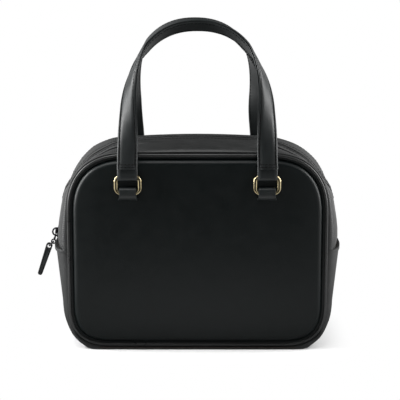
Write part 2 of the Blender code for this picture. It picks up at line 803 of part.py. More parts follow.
def slider_outline(half_length, low_half, high_half):
    """Corners of a slider plate, wide at its lower end."""
    cut = low_half / 2
    return (
        (-half_length, -low_half + cut), (-half_length, low_half - cut), (-half_length + cut, low_half),
        (0, low_half), (half_length - cut, high_half), (half_length, high_half - cut),
        (half_length, -high_half + cut), (half_length - cut, -high_half), (0, -low_half),
        (-half_length + cut, -low_half))


def post_outline():
    """Corners of the slider's post, matched one to one with a plate's."""
    low = -SLIDER_LENGTH / 2 + SLIDER_POST_INSET
    high = low + SLIDER_POST_LENGTH
    middle = (low + high) / 2
    half = SLIDER_POST_HALF_WIDTH
    return (
        (low, -half / 2), (low, half / 2), (low + half, half), (middle, half), (high - half, half),
        (high, half / 2), (high, -half / 2), (high - half, -half), (middle, -half), (low + half, -half))


def add_slider(axis, metal):
    """Slider body, two plates on a post, with the bail that stands on it."""
    middle, upward, outward = slider_frame()
    across = Vector((0, 1, 0))
    plate = slider_outline(
        SLIDER_LENGTH / 2, SLIDER_HALF_WIDTH, SLIDER_HALF_WIDTH * SLIDER_NARROW_SHARE)
    post = post_outline()
    low_top = -SLIDER_LOW_SINK
    high_top = SLIDER_TOP_LIFT + SLIDER_PLATE
    levels = (
        (plate, low_top - SLIDER_LOW_PLATE), (plate, low_top), (post, low_top),
        (post, SLIDER_TOP_LIFT), (plate, SLIDER_TOP_LIFT), (plate, high_top))
    rings = [
        [middle + upward * along + across * side + outward * level for along, side in outline]
        for outline, level in levels]
    add_piece("zip_slider", loft(rings), metal, axis)

    centre = bail_centre()
    foot = centre - outward * (BAIL_LEG - CLEARANCE)
    points = [foot + upward * BAIL_RADIUS]
    for turn in spaced(math.pi / 2, -math.pi / 2, TURN_STEPS // 2):
        points.append(centre + (outward * math.cos(turn) + upward * math.sin(turn)) * BAIL_RADIUS)
    points.append(foot - upward * BAIL_RADIUS)
    add_piece("zip_slider_bail", tube(points, BAIL_WIRE, SMALL_WIRE_SIDES, (0, 1, 0)), metal, axis)


def bail_centre():
    """Middle of the bail's arch, where the link swings."""
    middle, upward, outward = slider_frame()
    lift = SLIDER_TOP_LIFT + SLIDER_PLATE + BAIL_LEG
    return middle + outward * lift - upward * BAIL_OFFSET


def link_direction():
    """From the bail's middle towards the link's eye."""
    upward, outward = slider_frame()[1:]
    return outward * math.cos(LINK_ANGLE) - upward * math.sin(LINK_ANGLE)


def eye_centre():
    """Middle of the link's eye, where the pull swings."""
    return bail_centre() + link_direction() * LINK_REACH


def add_link(axis, metal):
    """A link with an upper loop round the bail and a flat eye below."""
    across = Vector((0, 1, 0))
    direction = link_direction()
    upper = bail_centre() + direction * BAIL_RADIUS
    eye = eye_centre()
    link = add_piece(
        "zip_pull_link", torus(eye, LINK_EYE_RADIUS, LINK_EYE_WIRE, direction, across.cross(direction)),
        metal, axis)
    loop = torus(upper, LINK_TOP_RADIUS, LINK_TOP_WIRE, direction, across)
    neck_start = upper + direction * LINK_TOP_RADIUS
    neck_end = eye - direction * LINK_EYE_RADIUS
    neck = tube([neck_start, neck_end], LINK_EYE_WIRE, WIRE_SIDES, (0, 1, 0))
    for name, bm in (("link_neck", neck), ("link_loop", loop)):
        guide = add_piece(name, bm, metal)
        guide.hide_render = True
        guide.display_type = "WIRE"
        join = link.modifiers.new(name, "BOOLEAN")
        join.operation = "UNION"
        join.solver = "EXACT"
        join.object = guide


def pull_outline():
    """Half outline of the leather pull: distance down from its top and half width."""
    top = PULL_WIDTH / 2
    tip = PULL_TIP_WIDTH / 2
    turns = spaced(0, math.pi / 2, PULL_END_STEPS)
    half = [(top * (1 - math.cos(turn)), top * math.sin(turn)) for turn in turns]
    half += [(PULL_LENGTH - tip + tip * math.sin(turn), tip * math.cos(turn)) for turn in turns]
    return half


def add_pull(axis, metal, leather):
    """Jump ring through the link's eye, and the leather pull that hangs on it."""
    across = Vector((0, 1, 0))
    eye = eye_centre()
    ring_way = Vector((-math.sin(JUMP_RING_ANGLE), 0, -math.cos(JUMP_RING_ANGLE)))
    ring_centre = eye + ring_way * JUMP_RING_RADIUS
    ring = torus(ring_centre, JUMP_RING_RADIUS, JUMP_RING_WIRE, ring_way, across)
    add_piece("zip_pull_ring", ring, metal, axis)

    hole = ring_centre + ring_way * JUMP_RING_RADIUS
    down = Vector((-math.sin(PULL_LEAN), 0, -math.cos(PULL_LEAN)))
    sideways = across.cross(down)
    top = hole - down * PULL_HOLE_INSET
    half = pull_outline()
    outline = half + [(run, -wide) for run, wide in half[-2:0:-1]]
    levels = (-PULL_THICKNESS / 2, PULL_THICKNESS / 2)
    rings = [
        [top + down * run + sideways * wide + across * level for run, wide in outline]
        for level in levels]
    pull = add_piece("zip_pull_leather", loft(rings), leather, axis)
    reach = across * (PULL_THICKNESS / 2 + OVERRUN)
    drill = tube([hole - reach, hole + reach], PULL_HOLE_RADIUS, WIRE_SIDES, down)
    add_cutter("pull_hole", drill, pull)


def build():
    """Makes every piece of the bag."""
    for item in list(bpy.data.objects):
        bpy.data.objects.remove(item, do_unlink=True)
    leather = finish("black_leather", (0.012, 0.013, 0.013), 0.42, 0)
    cloth = finish("lining_cloth", (0.030, 0.028, 0.026), 0.9, 0)
    card = finish("base_card", (0.10, 0.09, 0.08), 0.8, 0)
    tape = finish("zip_tape", (0.012, 0.012, 0.012), 0.85, 0)
    nylon = finish("zip_nylon", (0.014, 0.014, 0.014), 0.45, 0)
    gold = finish("pale_gold", (0.80, 0.66, 0.38), 0.25, 1)
    dark_metal = finish("dark_metal", (0.10, 0.10, 0.10), 0.3, 1)

    add_gusset(leather, cloth)
    add_base_board(card)
    for side, lean in ((FRONT, FRONT_LEAN), (BACK, BACK_LEAN)):
        name = SIDE_NAMES[side]
        mouth = add_axis(f"{name}_mouth_axis", (0, side * FACE_DEPTH, FLEX_HEIGHT))
        rings_axis = add_axis(f"{name}_rings_axis", (0, side * BAR_DEPTH, LOW_BAR_HEIGHT))
        handle_axis = add_axis(f"{name}_handle_axis", (0, side * BAR_DEPTH, HIGH_BAR_HEIGHT))
        add_panel(side, mouth, leather, cloth)
        add_zip_side(side, mouth, leather, tape, nylon)
        for hand in HAND_NAMES:
            add_tab(side, hand, mouth, leather)
            add_ring(side, hand, rings_axis, gold)
        add_handle(side, lean, handle_axis, leather)
        near = side * (COIL_SPACING - COIL_RADIUS)
        far = side * (COIL_SPACING + COIL_RADIUS)
        add_stop(f"{name}_zip_stop", -1, near, far, dark_metal)
    add_stop("zip_end_stop", 1, -END_STOP_HALF_WIDTH, END_STOP_HALF_WIDTH, dark_metal)

    add_slider(add_axis("zip_slider_axis", slider_frame()[0]), dark_metal)
    add_link(add_axis("pull_link_axis", bail_centre()), dark_metal)
    add_pull(add_axis("zip_pull_axis", eye_centre()), dark_metal, leather)


build()
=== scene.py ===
import math

import bmesh
import bpy
from mathutils import Matrix, Vector
from mathutils.bvhtree import BVHTree


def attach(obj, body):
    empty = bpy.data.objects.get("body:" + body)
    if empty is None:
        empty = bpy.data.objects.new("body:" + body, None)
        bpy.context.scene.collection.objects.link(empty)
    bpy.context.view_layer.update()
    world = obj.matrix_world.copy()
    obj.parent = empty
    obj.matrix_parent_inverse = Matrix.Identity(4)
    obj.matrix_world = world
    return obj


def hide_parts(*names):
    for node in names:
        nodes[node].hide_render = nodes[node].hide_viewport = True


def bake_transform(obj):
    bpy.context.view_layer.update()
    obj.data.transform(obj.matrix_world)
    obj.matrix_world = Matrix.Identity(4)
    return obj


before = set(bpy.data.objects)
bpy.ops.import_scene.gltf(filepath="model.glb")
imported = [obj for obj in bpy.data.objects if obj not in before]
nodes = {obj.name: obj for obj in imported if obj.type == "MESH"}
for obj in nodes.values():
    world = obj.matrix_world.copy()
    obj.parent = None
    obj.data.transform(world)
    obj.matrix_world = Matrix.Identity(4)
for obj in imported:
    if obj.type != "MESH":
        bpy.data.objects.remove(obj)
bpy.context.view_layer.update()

# Panel outline, along the middle of the piping
HALF_WIDTH = 0.1300
BOTTOM = 0.0053
TOP = 0.2026
MIDDLE = (BOTTOM + TOP) / 2
TAPER = 0.015
TOP_CORNER = 0.062
TOP_CORNER_POWER = 2.5
BOTTOM_CORNER = 0.044
BOTTOM_CORNER_POWER = 2.6
STRAIGHT_EDGE = 0.04

# Depths of the panels and linings, and the widths of their rims
SEAM_DEPTH = 0.052
PIPING_RADIUS = 0.0016
PANEL_BACK_DEPTH = 0.0505
PANEL_EDGE = 0.0014
PANEL_FLANGE = 0.0012
FLANGE_DEPTH = 0.0521
PANEL_GROOVE = 0.0019
GROOVE_DEPTH = 0.0509
PANEL_ROLL = 0.0055
ROLL_DEPTH = 0.0568
FACE_DEPTH = 0.0577
CROWN_STEPS = ((0.004, 0.00035), (0.006, 0.0003), (0.009, 0.00025))
LINING_DEPTH = 0.0502
LINING_EDGE = 0.0033
LINING = 0.0008
BEND_START = 0.090
BEND_END = 0.142
BEND_CUTS = 9

# Gusset, its bindings and its skin; each profile lists a place and a value there
GUSSET_HALF = 0.0499
GUSSET_LEATHER = 0.0016
GUSSET_LINING_SUNK = 0.0019
RIM_HEIGHT = 0.104
RIM_GAP = 0.0003
BINDING = 0.0036
BINDING_RISE = 0.0012
BINDING_STEP = 0.0012
BINDING_REACH = 0.0008
BINDING_FACES = (-0.0006, 0.0014)
SKIN_TURNS = (0, 12, 24, 36, 48, 58, 66, 72, 78, 84)
SKIN_POWER = 2.5
LOWER_BULGE = (
    (BOTTOM, 0.0225), (0.0070, 0.0185), (0.011, 0.0137), (0.023, 0.0117), (0.046, 0.0114),
    (RIM_HEIGHT, 0.0182))
UPPER_BULGE = (
    (RIM_HEIGHT, 0.0143), (RIM_HEIGHT + 0.004, 0.0165), (0.125, 0.0152), (0.150, 0.0108),
    (0.165, 0.0094), (0.190, 0.0058), (TOP, 0.0056))
CROWN_RISE = 0.0055
CROWN_REACH = 0.095
LEFT_FULLNESS = 0.0020
RIGHT_FULLNESS = 0.0008
SLUMP = 0.85
SLUMP_DEPTH = 0.55
WELT = 0.0032
WELT_PROFILE = (
    (0.66, 0), (0.80, 0.7), (0.90, 1), (0.951, 0.97), (0.978, 0.8), (0.9945, 0.45), (1, 0))
OVERHANG_PROFILE = (
    (0.70, 0), (0.848, 0.0024), (0.93, 0.0031), (0.978, 0.0026), (0.9945, 0.0014), (1, 0))
LOW_OVERHANG = 1.8
CREASE = 0.026
CREASE_DEPTH = 0.0022
CREASE_PROFILE = ((0.00001, 0), (0.00035, 1), (0.0018, 0.9), (0.006, 0))

# Zip
STRIP_EDGE = 0.0042
STRIP_TUCK = 0.003
STRIP_LEATHER = 0.0015
ZIP_STITCHES = 0.0112
HEM_SHIFT = 0.0006
HEM_RADIUS = 0.00085
TAPE_EDGES = (0.0002, 0.014)
TAPE_SUNK = 0.0025
TAPE = 0.0004
COIL_DEPTH = 0.0011
COIL_FOOT = 0.1092
COIL_MIDDLE = Vector((0, 0, 0.12))
COIL_STEP = 0.0002
COIL_PITCH = 0.0016
COIL_RADIUS = 0.00066
COIL_WIRE = 0.00028

# Strap hardware and handles
BAR_DEPTH = 0.0627
LOW_BAR = 0.16565
HIGH_BAR = 0.18395
RING_SPREAD = 0.0688
RING_HEIGHT = 0.1748
RING_WIDTH = 0.0274
RING_TALL = 0.0203
RING_CORNER = 0.0072
RING_SIDE_BAND = 0.0037
RING_BAND = 0.0020
RING_METAL = 0.0032
RING_SOFT = 0.00095
LOOP_INSIDE = 0.0022
LOOP_TAIL = 0.0065
LOOP_DROP = 0.0013
LOOP_FULLNESS = 1.4
LOOP_POWER = 0.7
TAB_SLACK = 0.0028
TAB_WIDTH = 0.0196
LOOP_WIDTH = 0.0168
TAB_LEATHER = 0.0018
TAB_BEND = 0.006
SLIT_BEND = 0.0015
BACKING = 0.0014
BACKING_WIDTH = 0.0196
STRAP = 0.0018
STRAP_GAP = 0.00015
STRAP_WIDTH = 0.020
STITCH_INSET = 0.0022
CROSS_STITCH = 0.0078
FOOT = 0.1908
RISE = 0.1445
STRAIGHT = 0.057
LEG_STEPS = 14
ARCH_STEPS = 30
ARCH_POWER = 2.25
INWARD = 0.0015
BACK_DRIFT = 0.0028
TWIST_START = 0.018
TWIST_LENGTH = 0.106
LEANS = {-1: (math.radians(6), math.radians(28)), 1: (math.radians(5), math.radians(27))}
SIDES = {-1: "front", 1: "back"}
HANDS = {-1: "left", 1: "right"}

# Places across a strap as shares of its half width, and how far the leather stands up there
PLAIN = ((-0.95, -0.0001), (-0.6, 0), (0, 0), (0.6, 0), (0.95, -0.0001))
PADDED = (
    (-0.96, -0.0003), (-0.88, 0), (-0.79, -0.0007), (-0.69, 0.0001), (-0.4, 0.0005), (0, 0.0007),
    (0.4, 0.0005), (0.69, 0.0001), (0.79, -0.0007), (0.88, 0), (0.96, -0.0003))

# Zip slider, link and pull
BAIL_CENTRE = Vector((-0.1495022, 0, 0.1118754))
EYE_CENTRE = Vector((-0.1529584, 0, 0.1014325))
SLIDE_WAY = Vector((0.1445724, 0, 0.9894941))
SLIDE_OUT = Vector((-0.9894941, 0, 0.1445724))
ACROSS = Vector((0, 1, 0))
BAIL_RADIUS = 0.0041
BAIL_WIRE = 0.0009
LINK_LOOP = 0.0018
LINK_EYE = 0.0022
JUMP_RING = 0.00345
RING_WIRE = 0.0007
PULL_LEAN = math.radians(19.5)
PULL_WIDTH = 0.007
PULL_LENGTH = 0.0375
PULL_NARROWS = 0.68
PULL_LEATHER = 0.0022
PULL_HOLE = 0.0018
PULL_HOLE_DROP = 0.0036

# Finishes: sizes of the surface marks, and the band of noise over which they vary
MOTTLE_BAND = (0.3, 0.7)
PEBBLE = 0.0011
PEBBLE_HEIGHT = 0.00018
WAVE_HEIGHT = 0.0012
PLEATS = 420
PLEAT_CENTRE = 0.11
PLEAT_REACH = (0.05, 0.085)
PLEAT_HEIGHT = 0.00012
WAVE_TEXTURE_LENGTH = 0.314
THREAD_HEIGHT = 0.0002
MARK_HEIGHT = 0.0001

# Working values, stage and camera
SAME_DEPTH = 0.00002
SMOOTH_ANGLE = math.radians(50)
EDGE_ANGLE = math.radians(60)
UPRIGHT = (math.pi / 2, 0, 0)
FLOOR_SIZE = 30
FOOTPRINT = (0.115, 0.047, 0)
SHADOW_REACH = 0.05
LAMP_AIM = Vector((0, 0, 0.12))
CAMERA_PITCH = math.radians(12)
CAMERA_TARGET = Vector((0.0025, -0.052, 0.1573))
FOCAL_LENGTH = 90
SENSOR_WIDTH = 36


# Working helpers

def choose(*pieces):
    """Selects these pieces only."""
    bpy.ops.object.select_all(action="DESELECT")
    for piece in pieces:
        piece.select_set(True)
    bpy.context.view_layer.objects.active = pieces[0]


def edit(piece):
    """Starts to edit a piece's mesh."""
    choose(piece)
    bpy.ops.object.mode_set(mode="EDIT")


def leave():
    """Ends the editing."""
    bpy.ops.object.mode_set(mode="OBJECT")


def pick(kind, test):
    """In edit mode, selects the points, edges or faces that pass the test."""
    bpy.ops.mesh.select_mode(type=kind)
    bpy.ops.mesh.select_all(action="DESELECT")
    mesh = bmesh.from_edit_mesh(bpy.context.object.data)
    for part in {"VERT": mesh.verts, "EDGE": mesh.edges, "FACE": mesh.faces}[kind]:
        if test(part):
            part.select_set(True)
    bmesh.update_edit_mesh(bpy.context.object.data)


def pick_all():
    """In edit mode, selects everything."""
    bpy.ops.mesh.select_all(action="SELECT")


def all_corners(part, test):
    """Whether every corner of an edge or a face passes the test."""
    return all(test(point.co) for point in part.verts)


def at_depth(depth):
    """A test for places at this depth."""
    return lambda place: abs(place.y - depth) < SAME_DEPTH


def drop_faces():
    """In edit mode, keeps only the edges."""
    pick_all()
    bpy.ops.mesh.delete(type="ONLY_FACE")
    pick_all()


def turn_outward():
    """In edit mode, turns every face outward."""
    pick_all()
    bpy.ops.mesh.normals_make_consistent(inside=False)


def shift(depth):
    """In edit mode, moves the selection in depth."""
    bpy.ops.transform.translate(value=(0, depth, 0))


def extrude(depth):
    """In edit mode, extrudes the selection in depth."""
    bpy.ops.mesh.extrude_region_move(TRANSFORM_OT_translate={"value": (0, depth, 0)})


def inset(width):
    """In edit mode, draws the selected faces in."""
    bpy.ops.mesh.inset(thickness=width, use_even_offset=True)


def round_corners(width, steps, profile=0.5):
    """In edit mode, rounds the corners at the selected points."""
    bpy.ops.mesh.bevel(offset=width, segments=steps, profile=profile, affect="VERTICES")


def cut(height=None, depth=None, keep="both"):
    """In edit mode, cuts across at a height or a depth; keeps low, high, both or the line."""
    pick_all()
    place, way = ((0, 0, height), (0, 0, 1)) if depth is None else ((0, depth, 0), (0, 1, 0))
    bpy.ops.mesh.bisect(
        plane_co=place, plane_no=way, clear_inner=keep in ("high", "line"),
        clear_outer=keep in ("low", "line"))


def copy_of(piece, name):
    """A copy with its own mesh."""
    choose(piece)
    bpy.ops.object.duplicate()
    copy = bpy.context.object
    copy.name = name
    copy.data.name = name
    return copy


def join(name, *pieces):
    """Joins the pieces into one of this name."""
    choose(*pieces)
    bpy.ops.object.join()
    bpy.context.object.name = name
    return bpy.context.object


def add_object(name, data):
    """A new object in the scene."""
    piece = bpy.data.objects.new(name, data)
    bpy.context.collection.objects.link(piece)
    return piece


def add_shape(
        name, place, size=(1, 1, 1), turn=UPRIGHT, add=bpy.ops.mesh.primitive_plane_add):
    """A plane or other basic shape, with its size and turn applied."""
    bpy.ops.object.select_all(action="DESELECT")
    add(size=1, location=place, rotation=turn)
    piece = bpy.context.object
    piece.name = name
    piece.scale = size
    bpy.ops.object.transform_apply(location=True, rotation=True, scale=True)
    return piece


def apply_modifier(piece, kind, **values):
    """Adds a modifier with these values and applies it."""
    choose(piece)
    modifier = piece.modifiers.new(kind.lower(), kind)
    for key, value in values.items():
        setattr(modifier, key, value)
    bpy.ops.object.modifier_apply(modifier=modifier.name)


def soften(piece, width, segments):
    """Bevels the piece's sharp edges."""
    apply_modifier(
        piece, "BEVEL", width=width, segments=segments, limit_method="ANGLE",
        angle_limit=EDGE_ANGLE)


def smooth(piece):
    """Shades the piece smooth but for its sharp edges."""
    choose(piece)
    bpy.ops.object.shade_smooth_by_angle(angle=SMOOTH_ANGLE)


def paint(piece, material):
    """Gives the piece this material."""
    piece.data.materials.clear()
    piece.data.materials.append(material)


def wear(piece, material):
    """Gives the piece its finish."""
    paint(piece, material)


def join_mouth(piece):
    """Bakes the piece's transform into its mesh."""
    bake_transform(piece)


def wire(name, lines, radius, closed=False, rounding=3):
    """Round wires along lines of points, made as a curve and turned into a mesh."""
    curve = bpy.data.curves.new(name, "CURVE")
    curve.dimensions = "3D"
    for points in lines:
        line = curve.splines.new("POLY")
        line.points.add(len(points) - 1)
        for knot, point in zip(line.points, points):
            knot.co = (*point, 1)
        line.use_cyclic_u = closed
    curve.bevel_depth = radius
    curve.bevel_resolution = rounding
    curve.use_fill_caps = True
    choose(add_object(name, curve))
    bpy.ops.object.convert(target="MESH")
    piece = bpy.context.object
    piece.data.name = name
    bpy.ops.object.shade_smooth()
    return piece


# Materials

def grey(value):
    """A colour without a tint."""
    return (value, value, value)


def shader_of(name, **values):
    """A new material, its tree and its main shader with these values."""
    material = bpy.data.materials.new(name)
    material.use_nodes = True
    tree = material.node_tree
    shader = tree.nodes["Principled BSDF"]
    for key, value in values.items():
        shader.inputs[key.replace("_", " ")].default_value = value
    return material, tree, shader


def add_node(tree, kind, *sources, **values):
    """Adds a node with these values, and links the sources to its first inputs."""
    node = tree.nodes.new(f"ShaderNode{kind}")
    for key, value in values.items():
        if hasattr(node, key):
            setattr(node, key, value)
        else:
            node.inputs[key.replace("_", " ")].default_value = value
    for source, target in zip(sources, node.inputs):
        tree.links.new(source, target)
    return node


def sum_node(tree, operation, *sources):
    """The result of one sum on the sources."""
    return add_node(tree, "Math", *sources, operation=operation).outputs[0]


def vector_node(tree, operation, *sources):
    """A node with one sum on vectors."""
    return add_node(tree, "VectorMath", *sources, operation=operation)


def carried(tree, source, old, new, **values):
    """A value carried from an old range to a new one."""
    node = add_node(
        tree, "MapRange", source, From_Min=old[0], From_Max=old[1], To_Min=new[0],
        To_Max=new[1], **values)
    return node.outputs["Result"]


def object_place(tree):
    """Places in the piece's own frame."""
    return add_node(tree, "TexCoord").outputs["Object"]


def ramp(tree, source, stops):
    """A colour ramp over a value."""
    node = add_node(tree, "ValToRGB", source)
    points = node.color_ramp.elements
    points[0].position, points[0].color = stops[0][0], (*stops[0][1], 1)
    points[1].position, points[1].color = stops[-1][0], (*stops[-1][1], 1)
    for position, colour in stops[1:-1]:
        points.new(position).color = (*colour, 1)
    return node.outputs["Color"]


def bump(tree, source, strength, height, under=None):
    """A surface's normal with these bumps, on top of others if given."""
    node = add_node(tree, "Bump", Strength=strength, Distance=height)
    tree.links.new(source, node.inputs["Height"])
    if under:
        tree.links.new(under, node.inputs["Normal"])
    return node.outputs["Normal"]


def mottle(tree, shader, place, tones, roughness, **noise):
    """Noise that varies the colour and the roughness, each between two values."""
    marks = add_node(tree, "TexNoise", place, **noise).outputs["Fac"]
    colour = ramp(tree, marks, list(zip(MOTTLE_BAND, tones)))
    tree.links.new(colour, shader.inputs["Base Color"])
    tree.links.new(carried(tree, marks, MOTTLE_BAND, roughness), shader.inputs["Roughness"])
    return marks


def pleats(tree, place):
    """Fine ribs that fan out round the bag's middle, only where the leather turns a corner."""
    turned = add_node(
        tree, "Mapping", place, vector_type="POINT", Location=(0, PLEAT_CENTRE, 0),
        Rotation=UPRIGHT)
    fan = add_node(
        tree, "TexGradient", turned.outputs["Vector"], gradient_type="RADIAL")
    ribs = add_node(tree, "Math", fan.outputs["Fac"], operation="MULTIPLY")
    ribs.inputs[1].default_value = PLEATS * math.tau
    wave = sum_node(tree, "SINE", ribs.outputs[0])
    split = add_node(tree, "SeparateXYZ", place)
    reach = sum_node(tree, "ABSOLUTE", split.outputs["X"])
    return sum_node(tree, "MULTIPLY", wave, carried(tree, reach, PLEAT_REACH, (0, 1)))


def leather(
        name, dark, light, roughness, grain=0.25, waves=0.35, gloss=0.5, ribbed=False):
    """Smooth calf leather: fine pebble, slow waves and a slightly uneven polish."""
    material, tree, shader = shader_of(name, Specular_IOR_Level=gloss)
    place = object_place(tree)
    pebble = add_node(
        tree, "TexVoronoi", place, feature="SMOOTH_F1", Scale=1 / PEBBLE,
        Smoothness=0.6)
    slow = add_node(tree, "TexNoise", place, Scale=26, Detail=2, Roughness=0.45)
    mottle(tree, shader, place, (dark, light), roughness, Scale=70, Detail=5, Roughness=0.6)
    normal = bump(tree, slow.outputs["Fac"], waves, WAVE_HEIGHT)
    normal = bump(tree, pebble.outputs["Distance"], grain, PEBBLE_HEIGHT, normal)
    if ribbed:
        normal = bump(tree, pleats(tree, place), 0.6, PLEAT_HEIGHT, normal)
    tree.links.new(normal, shader.inputs["Normal"])
    return material


def cloth(name, dark, light, thread=0.0006):
    """Woven cloth: crossed threads with a faint fleck."""
    material, tree, shader = shader_of(name, Roughness=0.9, Specular_IOR_Level=0.1)
    place = object_place(tree)
    warp, weft = [
        add_node(
            tree, "TexWave", place, bands_direction=way,
            Scale=WAVE_TEXTURE_LENGTH / thread).outputs["Fac"]
        for way in "XZ"]
    fleck = add_node(tree, "TexNoise", place, Scale=900, Detail=2)
    weave = sum_node(tree, "MULTIPLY", warp, weft)
    mixed = sum_node(tree, "ADD", weave, fleck.outputs["Fac"])
    colour = ramp(tree, mixed, [(0.3, dark), (1.0, light)])
    tree.links.new(colour, shader.inputs["Base Color"])
    tree.links.new(bump(tree, weave, 0.5, THREAD_HEIGHT), shader.inputs["Normal"])
    return material


def metal(name, dark, light, roughness):
    """Cast and polished metal with faint handling marks."""
    material, tree, shader = shader_of(name, Metallic=1)
    marks = mottle(
        tree, shader, object_place(tree), (dark, light), roughness, Scale=420, Detail=4,
        Roughness=0.65)
    tree.links.new(bump(tree, marks, 0.08, MARK_HEIGHT), shader.inputs["Normal"])
    return material


body_leather = leather(
    "body_leather", (0.0018, 0.0040, 0.0042), (0.0032, 0.0056, 0.0058), (0.35, 0.43), gloss=0.285)
gusset_finish = ((0.012, 0.013, 0.013), (0.018, 0.019, 0.019), (0.38, 0.48))
gusset_leather = leather("gusset_leather", *gusset_finish, waves=0.6)
strip_leather = leather("strip_leather", *gusset_finish, waves=0.5, ribbed=True)
strap_leather = leather(
    "strap_leather", (0.0055, 0.0080, 0.0083), (0.0095, 0.0125, 0.0130), (0.40, 0.50), waves=0.25)
piping_leather = leather(
    "piping_leather", (0.011, 0.012, 0.012), (0.018, 0.019, 0.019), (0.26, 0.34), grain=0.15,
    gloss=0.65)
sewing_thread = cloth("sewing_thread", grey(0.004), grey(0.012), thread=0.0003)
lining_cloth = cloth("lining_cloth", (0.020, 0.018, 0.016), (0.055, 0.050, 0.045))
tape_cloth = cloth("tape_cloth", grey(0.002), grey(0.006), thread=0.0004)
coil_nylon = leather("coil_nylon", grey(0.003), grey(0.007), (0.42, 0.52), grain=0.05, waves=0)
pale_gold = metal("pale_gold", (0.64, 0.52, 0.28), (0.80, 0.69, 0.45), (0.09, 0.16))
dark_metal = metal("dark_metal", (0.022, 0.022, 0.024), (0.06, 0.06, 0.062), (0.16, 0.26))
board_card = cloth("board_card", (0.06, 0.055, 0.05), (0.12, 0.11, 0.10), thread=0.0009)


# The bag's pattern and its skin

def corner_profile(power):
    """The bevel profile that gives a corner of this squareness."""
    return 2 ** (-2 / power)


def bag_pattern():
    """A flat sheet with the outline of the panels, on the bag's middle plane."""
    sheet = add_shape("pattern", (0, 0, MIDDLE))
    edit(sheet)
    pick_all()
    widen = 1 + TAPER * MIDDLE / (TOP - BOTTOM)
    bpy.ops.transform.resize(
        value=(2 * HALF_WIDTH, 1, TOP - BOTTOM), center_override=(0, 0, MIDDLE))
    pick("VERT", lambda point: point.co.z > MIDDLE)
    round_corners(TOP_CORNER, 26, corner_profile(TOP_CORNER_POWER))
    pick("VERT", lambda point: point.co.z < BOTTOM + 0.001)
    round_corners(BOTTOM_CORNER, 18, corner_profile(BOTTOM_CORNER_POWER))
    drop_faces()
    pick("EDGE", lambda edge: edge.calc_length() > STRAIGHT_EDGE)
    bpy.ops.mesh.subdivide(number_cuts=9)
    pick_all()
    bpy.ops.transform.resize(value=(widen, 1, 1), center_override=(0, 0, 0))
    bpy.ops.mesh.edge_face_add()
    leave()
    apply_modifier(
        sheet, "SIMPLE_DEFORM", deform_method="TAPER", deform_axis="Z", lock_y=True,
        factor=-TAPER / widen)
    return sheet


def between(value, stations):
    """Reads a value off a list of stations."""
    for (low, first), (high, last) in zip(stations, stations[1:]):
        if value <= high:
            return first + (last - first) * max(value - low, 0) / (high - low)
    return stations[-1][1]


def ease(low, high, value):
    """Rises smoothly from 0 at low to 1 at high."""
    share = min(max((value - low) / (high - low), 0), 1)
    return share * share * (3 - 2 * share)


def lower_bulge(place):
    """How far the lower gusset stands out midway between its seams."""
    return between(place.z, LOWER_BULGE)


def upper_bulge(place):
    """The same for the zip strips: crowned along the top and fuller at both upper corners."""
    crown = CROWN_RISE * max(1 - (place.x / CROWN_REACH) ** 2, 0)
    left = LEFT_FULLNESS * ease(0.078, 0.090, -place.x) * (1 - ease(0.106, 0.124, -place.x))
    right = RIGHT_FULLNESS * ease(0.08, 0.11, place.x) * ease(0.110, 0.130, place.z)
    return (
        crown + right + left * ease(0.155, 0.175, place.z) + between(place.z, UPPER_BULGE))


def slump(place):
    """How much of its bulge the front of the mouth's upper corners keeps where it flattens."""
    corner = ease(0.157, 0.182, place.z) * ease(0.066, 0.105, abs(place.x))
    return 1 - SLUMP * corner * (1 - ease(0, SLUMP_DEPTH, place.y / GUSSET_HALF))


def crease(place):
    """How deep the step of the fold round the strip's corner is here."""
    step = between(abs(place.y) - CREASE, CREASE_PROFILE)
    return CREASE_DEPTH * ease(0.045, 0.085, abs(place.x)) * step


def skin(pattern, name, bulge, keep, height):
    """The gusset as a skin round the pattern's edge, bulged out between the seams."""
    piece = copy_of(pattern, name)
    edit(piece)
    drop_faces()
    shift(-GUSSET_HALF)
    bpy.ops.mesh.extrude_edges_move(TRANSFORM_OT_translate={"value": (0, 2 * GUSSET_HALF, 0)})
    upper = keep == "high"
    depths = [GUSSET_HALF * math.sin(math.radians(turn)) for turn in SKIN_TURNS]
    if upper:
        depths += [CREASE] + [CREASE + run for run, share in CREASE_PROFILE[1:]]
    for depth in depths:
        cut(depth=depth)
        cut(depth=-depth)
    cut(height=height, keep=keep)
    turn_outward()
    leave()
    outward = 1 if upper else -1
    far = max(piece.data.vertices, key=lambda point: point.co.z * outward)
    if far.normal.z * outward < 0:
        edit(piece)
        pick_all()
        bpy.ops.mesh.flip_normals()
        leave()
    out, front, back = [piece.vertex_groups.new(name=group) for group in ("out", "front", "back")]
    for point in piece.data.vertices:
        share = min(abs(point.co.y) / GUSSET_HALF, 1)
        flat = slump(point.co)
        rise = bulge(point.co) * (1 - share ** SKIN_POWER) ** (1 / SKIN_POWER) * flat
        overhang = between(share, OVERHANG_PROFILE)
        if upper:
            rise += WELT * between(share, WELT_PROFILE) * (1 - flat) - crease(point.co)
            roll = overhang * (0.3 + 0.7 * ease(0.150, 0.190, point.co.z))
        else:
            roll = LOW_OVERHANG * overhang * (1 - ease(0.008, 0.035, point.co.z))
        (front if point.co.y < 0 else back).add([point.index], roll, "REPLACE")
        out.add([point.index], max(rise, 0), "REPLACE")
    apply_modifier(piece, "DISPLACE", strength=1, mid_level=0, vertex_group="out")
    for group, strength in (("front", -1), ("back", 1)):
        apply_modifier(
            piece, "DISPLACE", strength=strength, mid_level=0, direction="Y", vertex_group=group)
    edit(piece)
    pick("VERT", lambda point: point.co.z < 0)
    bpy.ops.transform.resize(value=(1, 1, 0), center_override=(0, 0, 0))
    leave()
    return piece


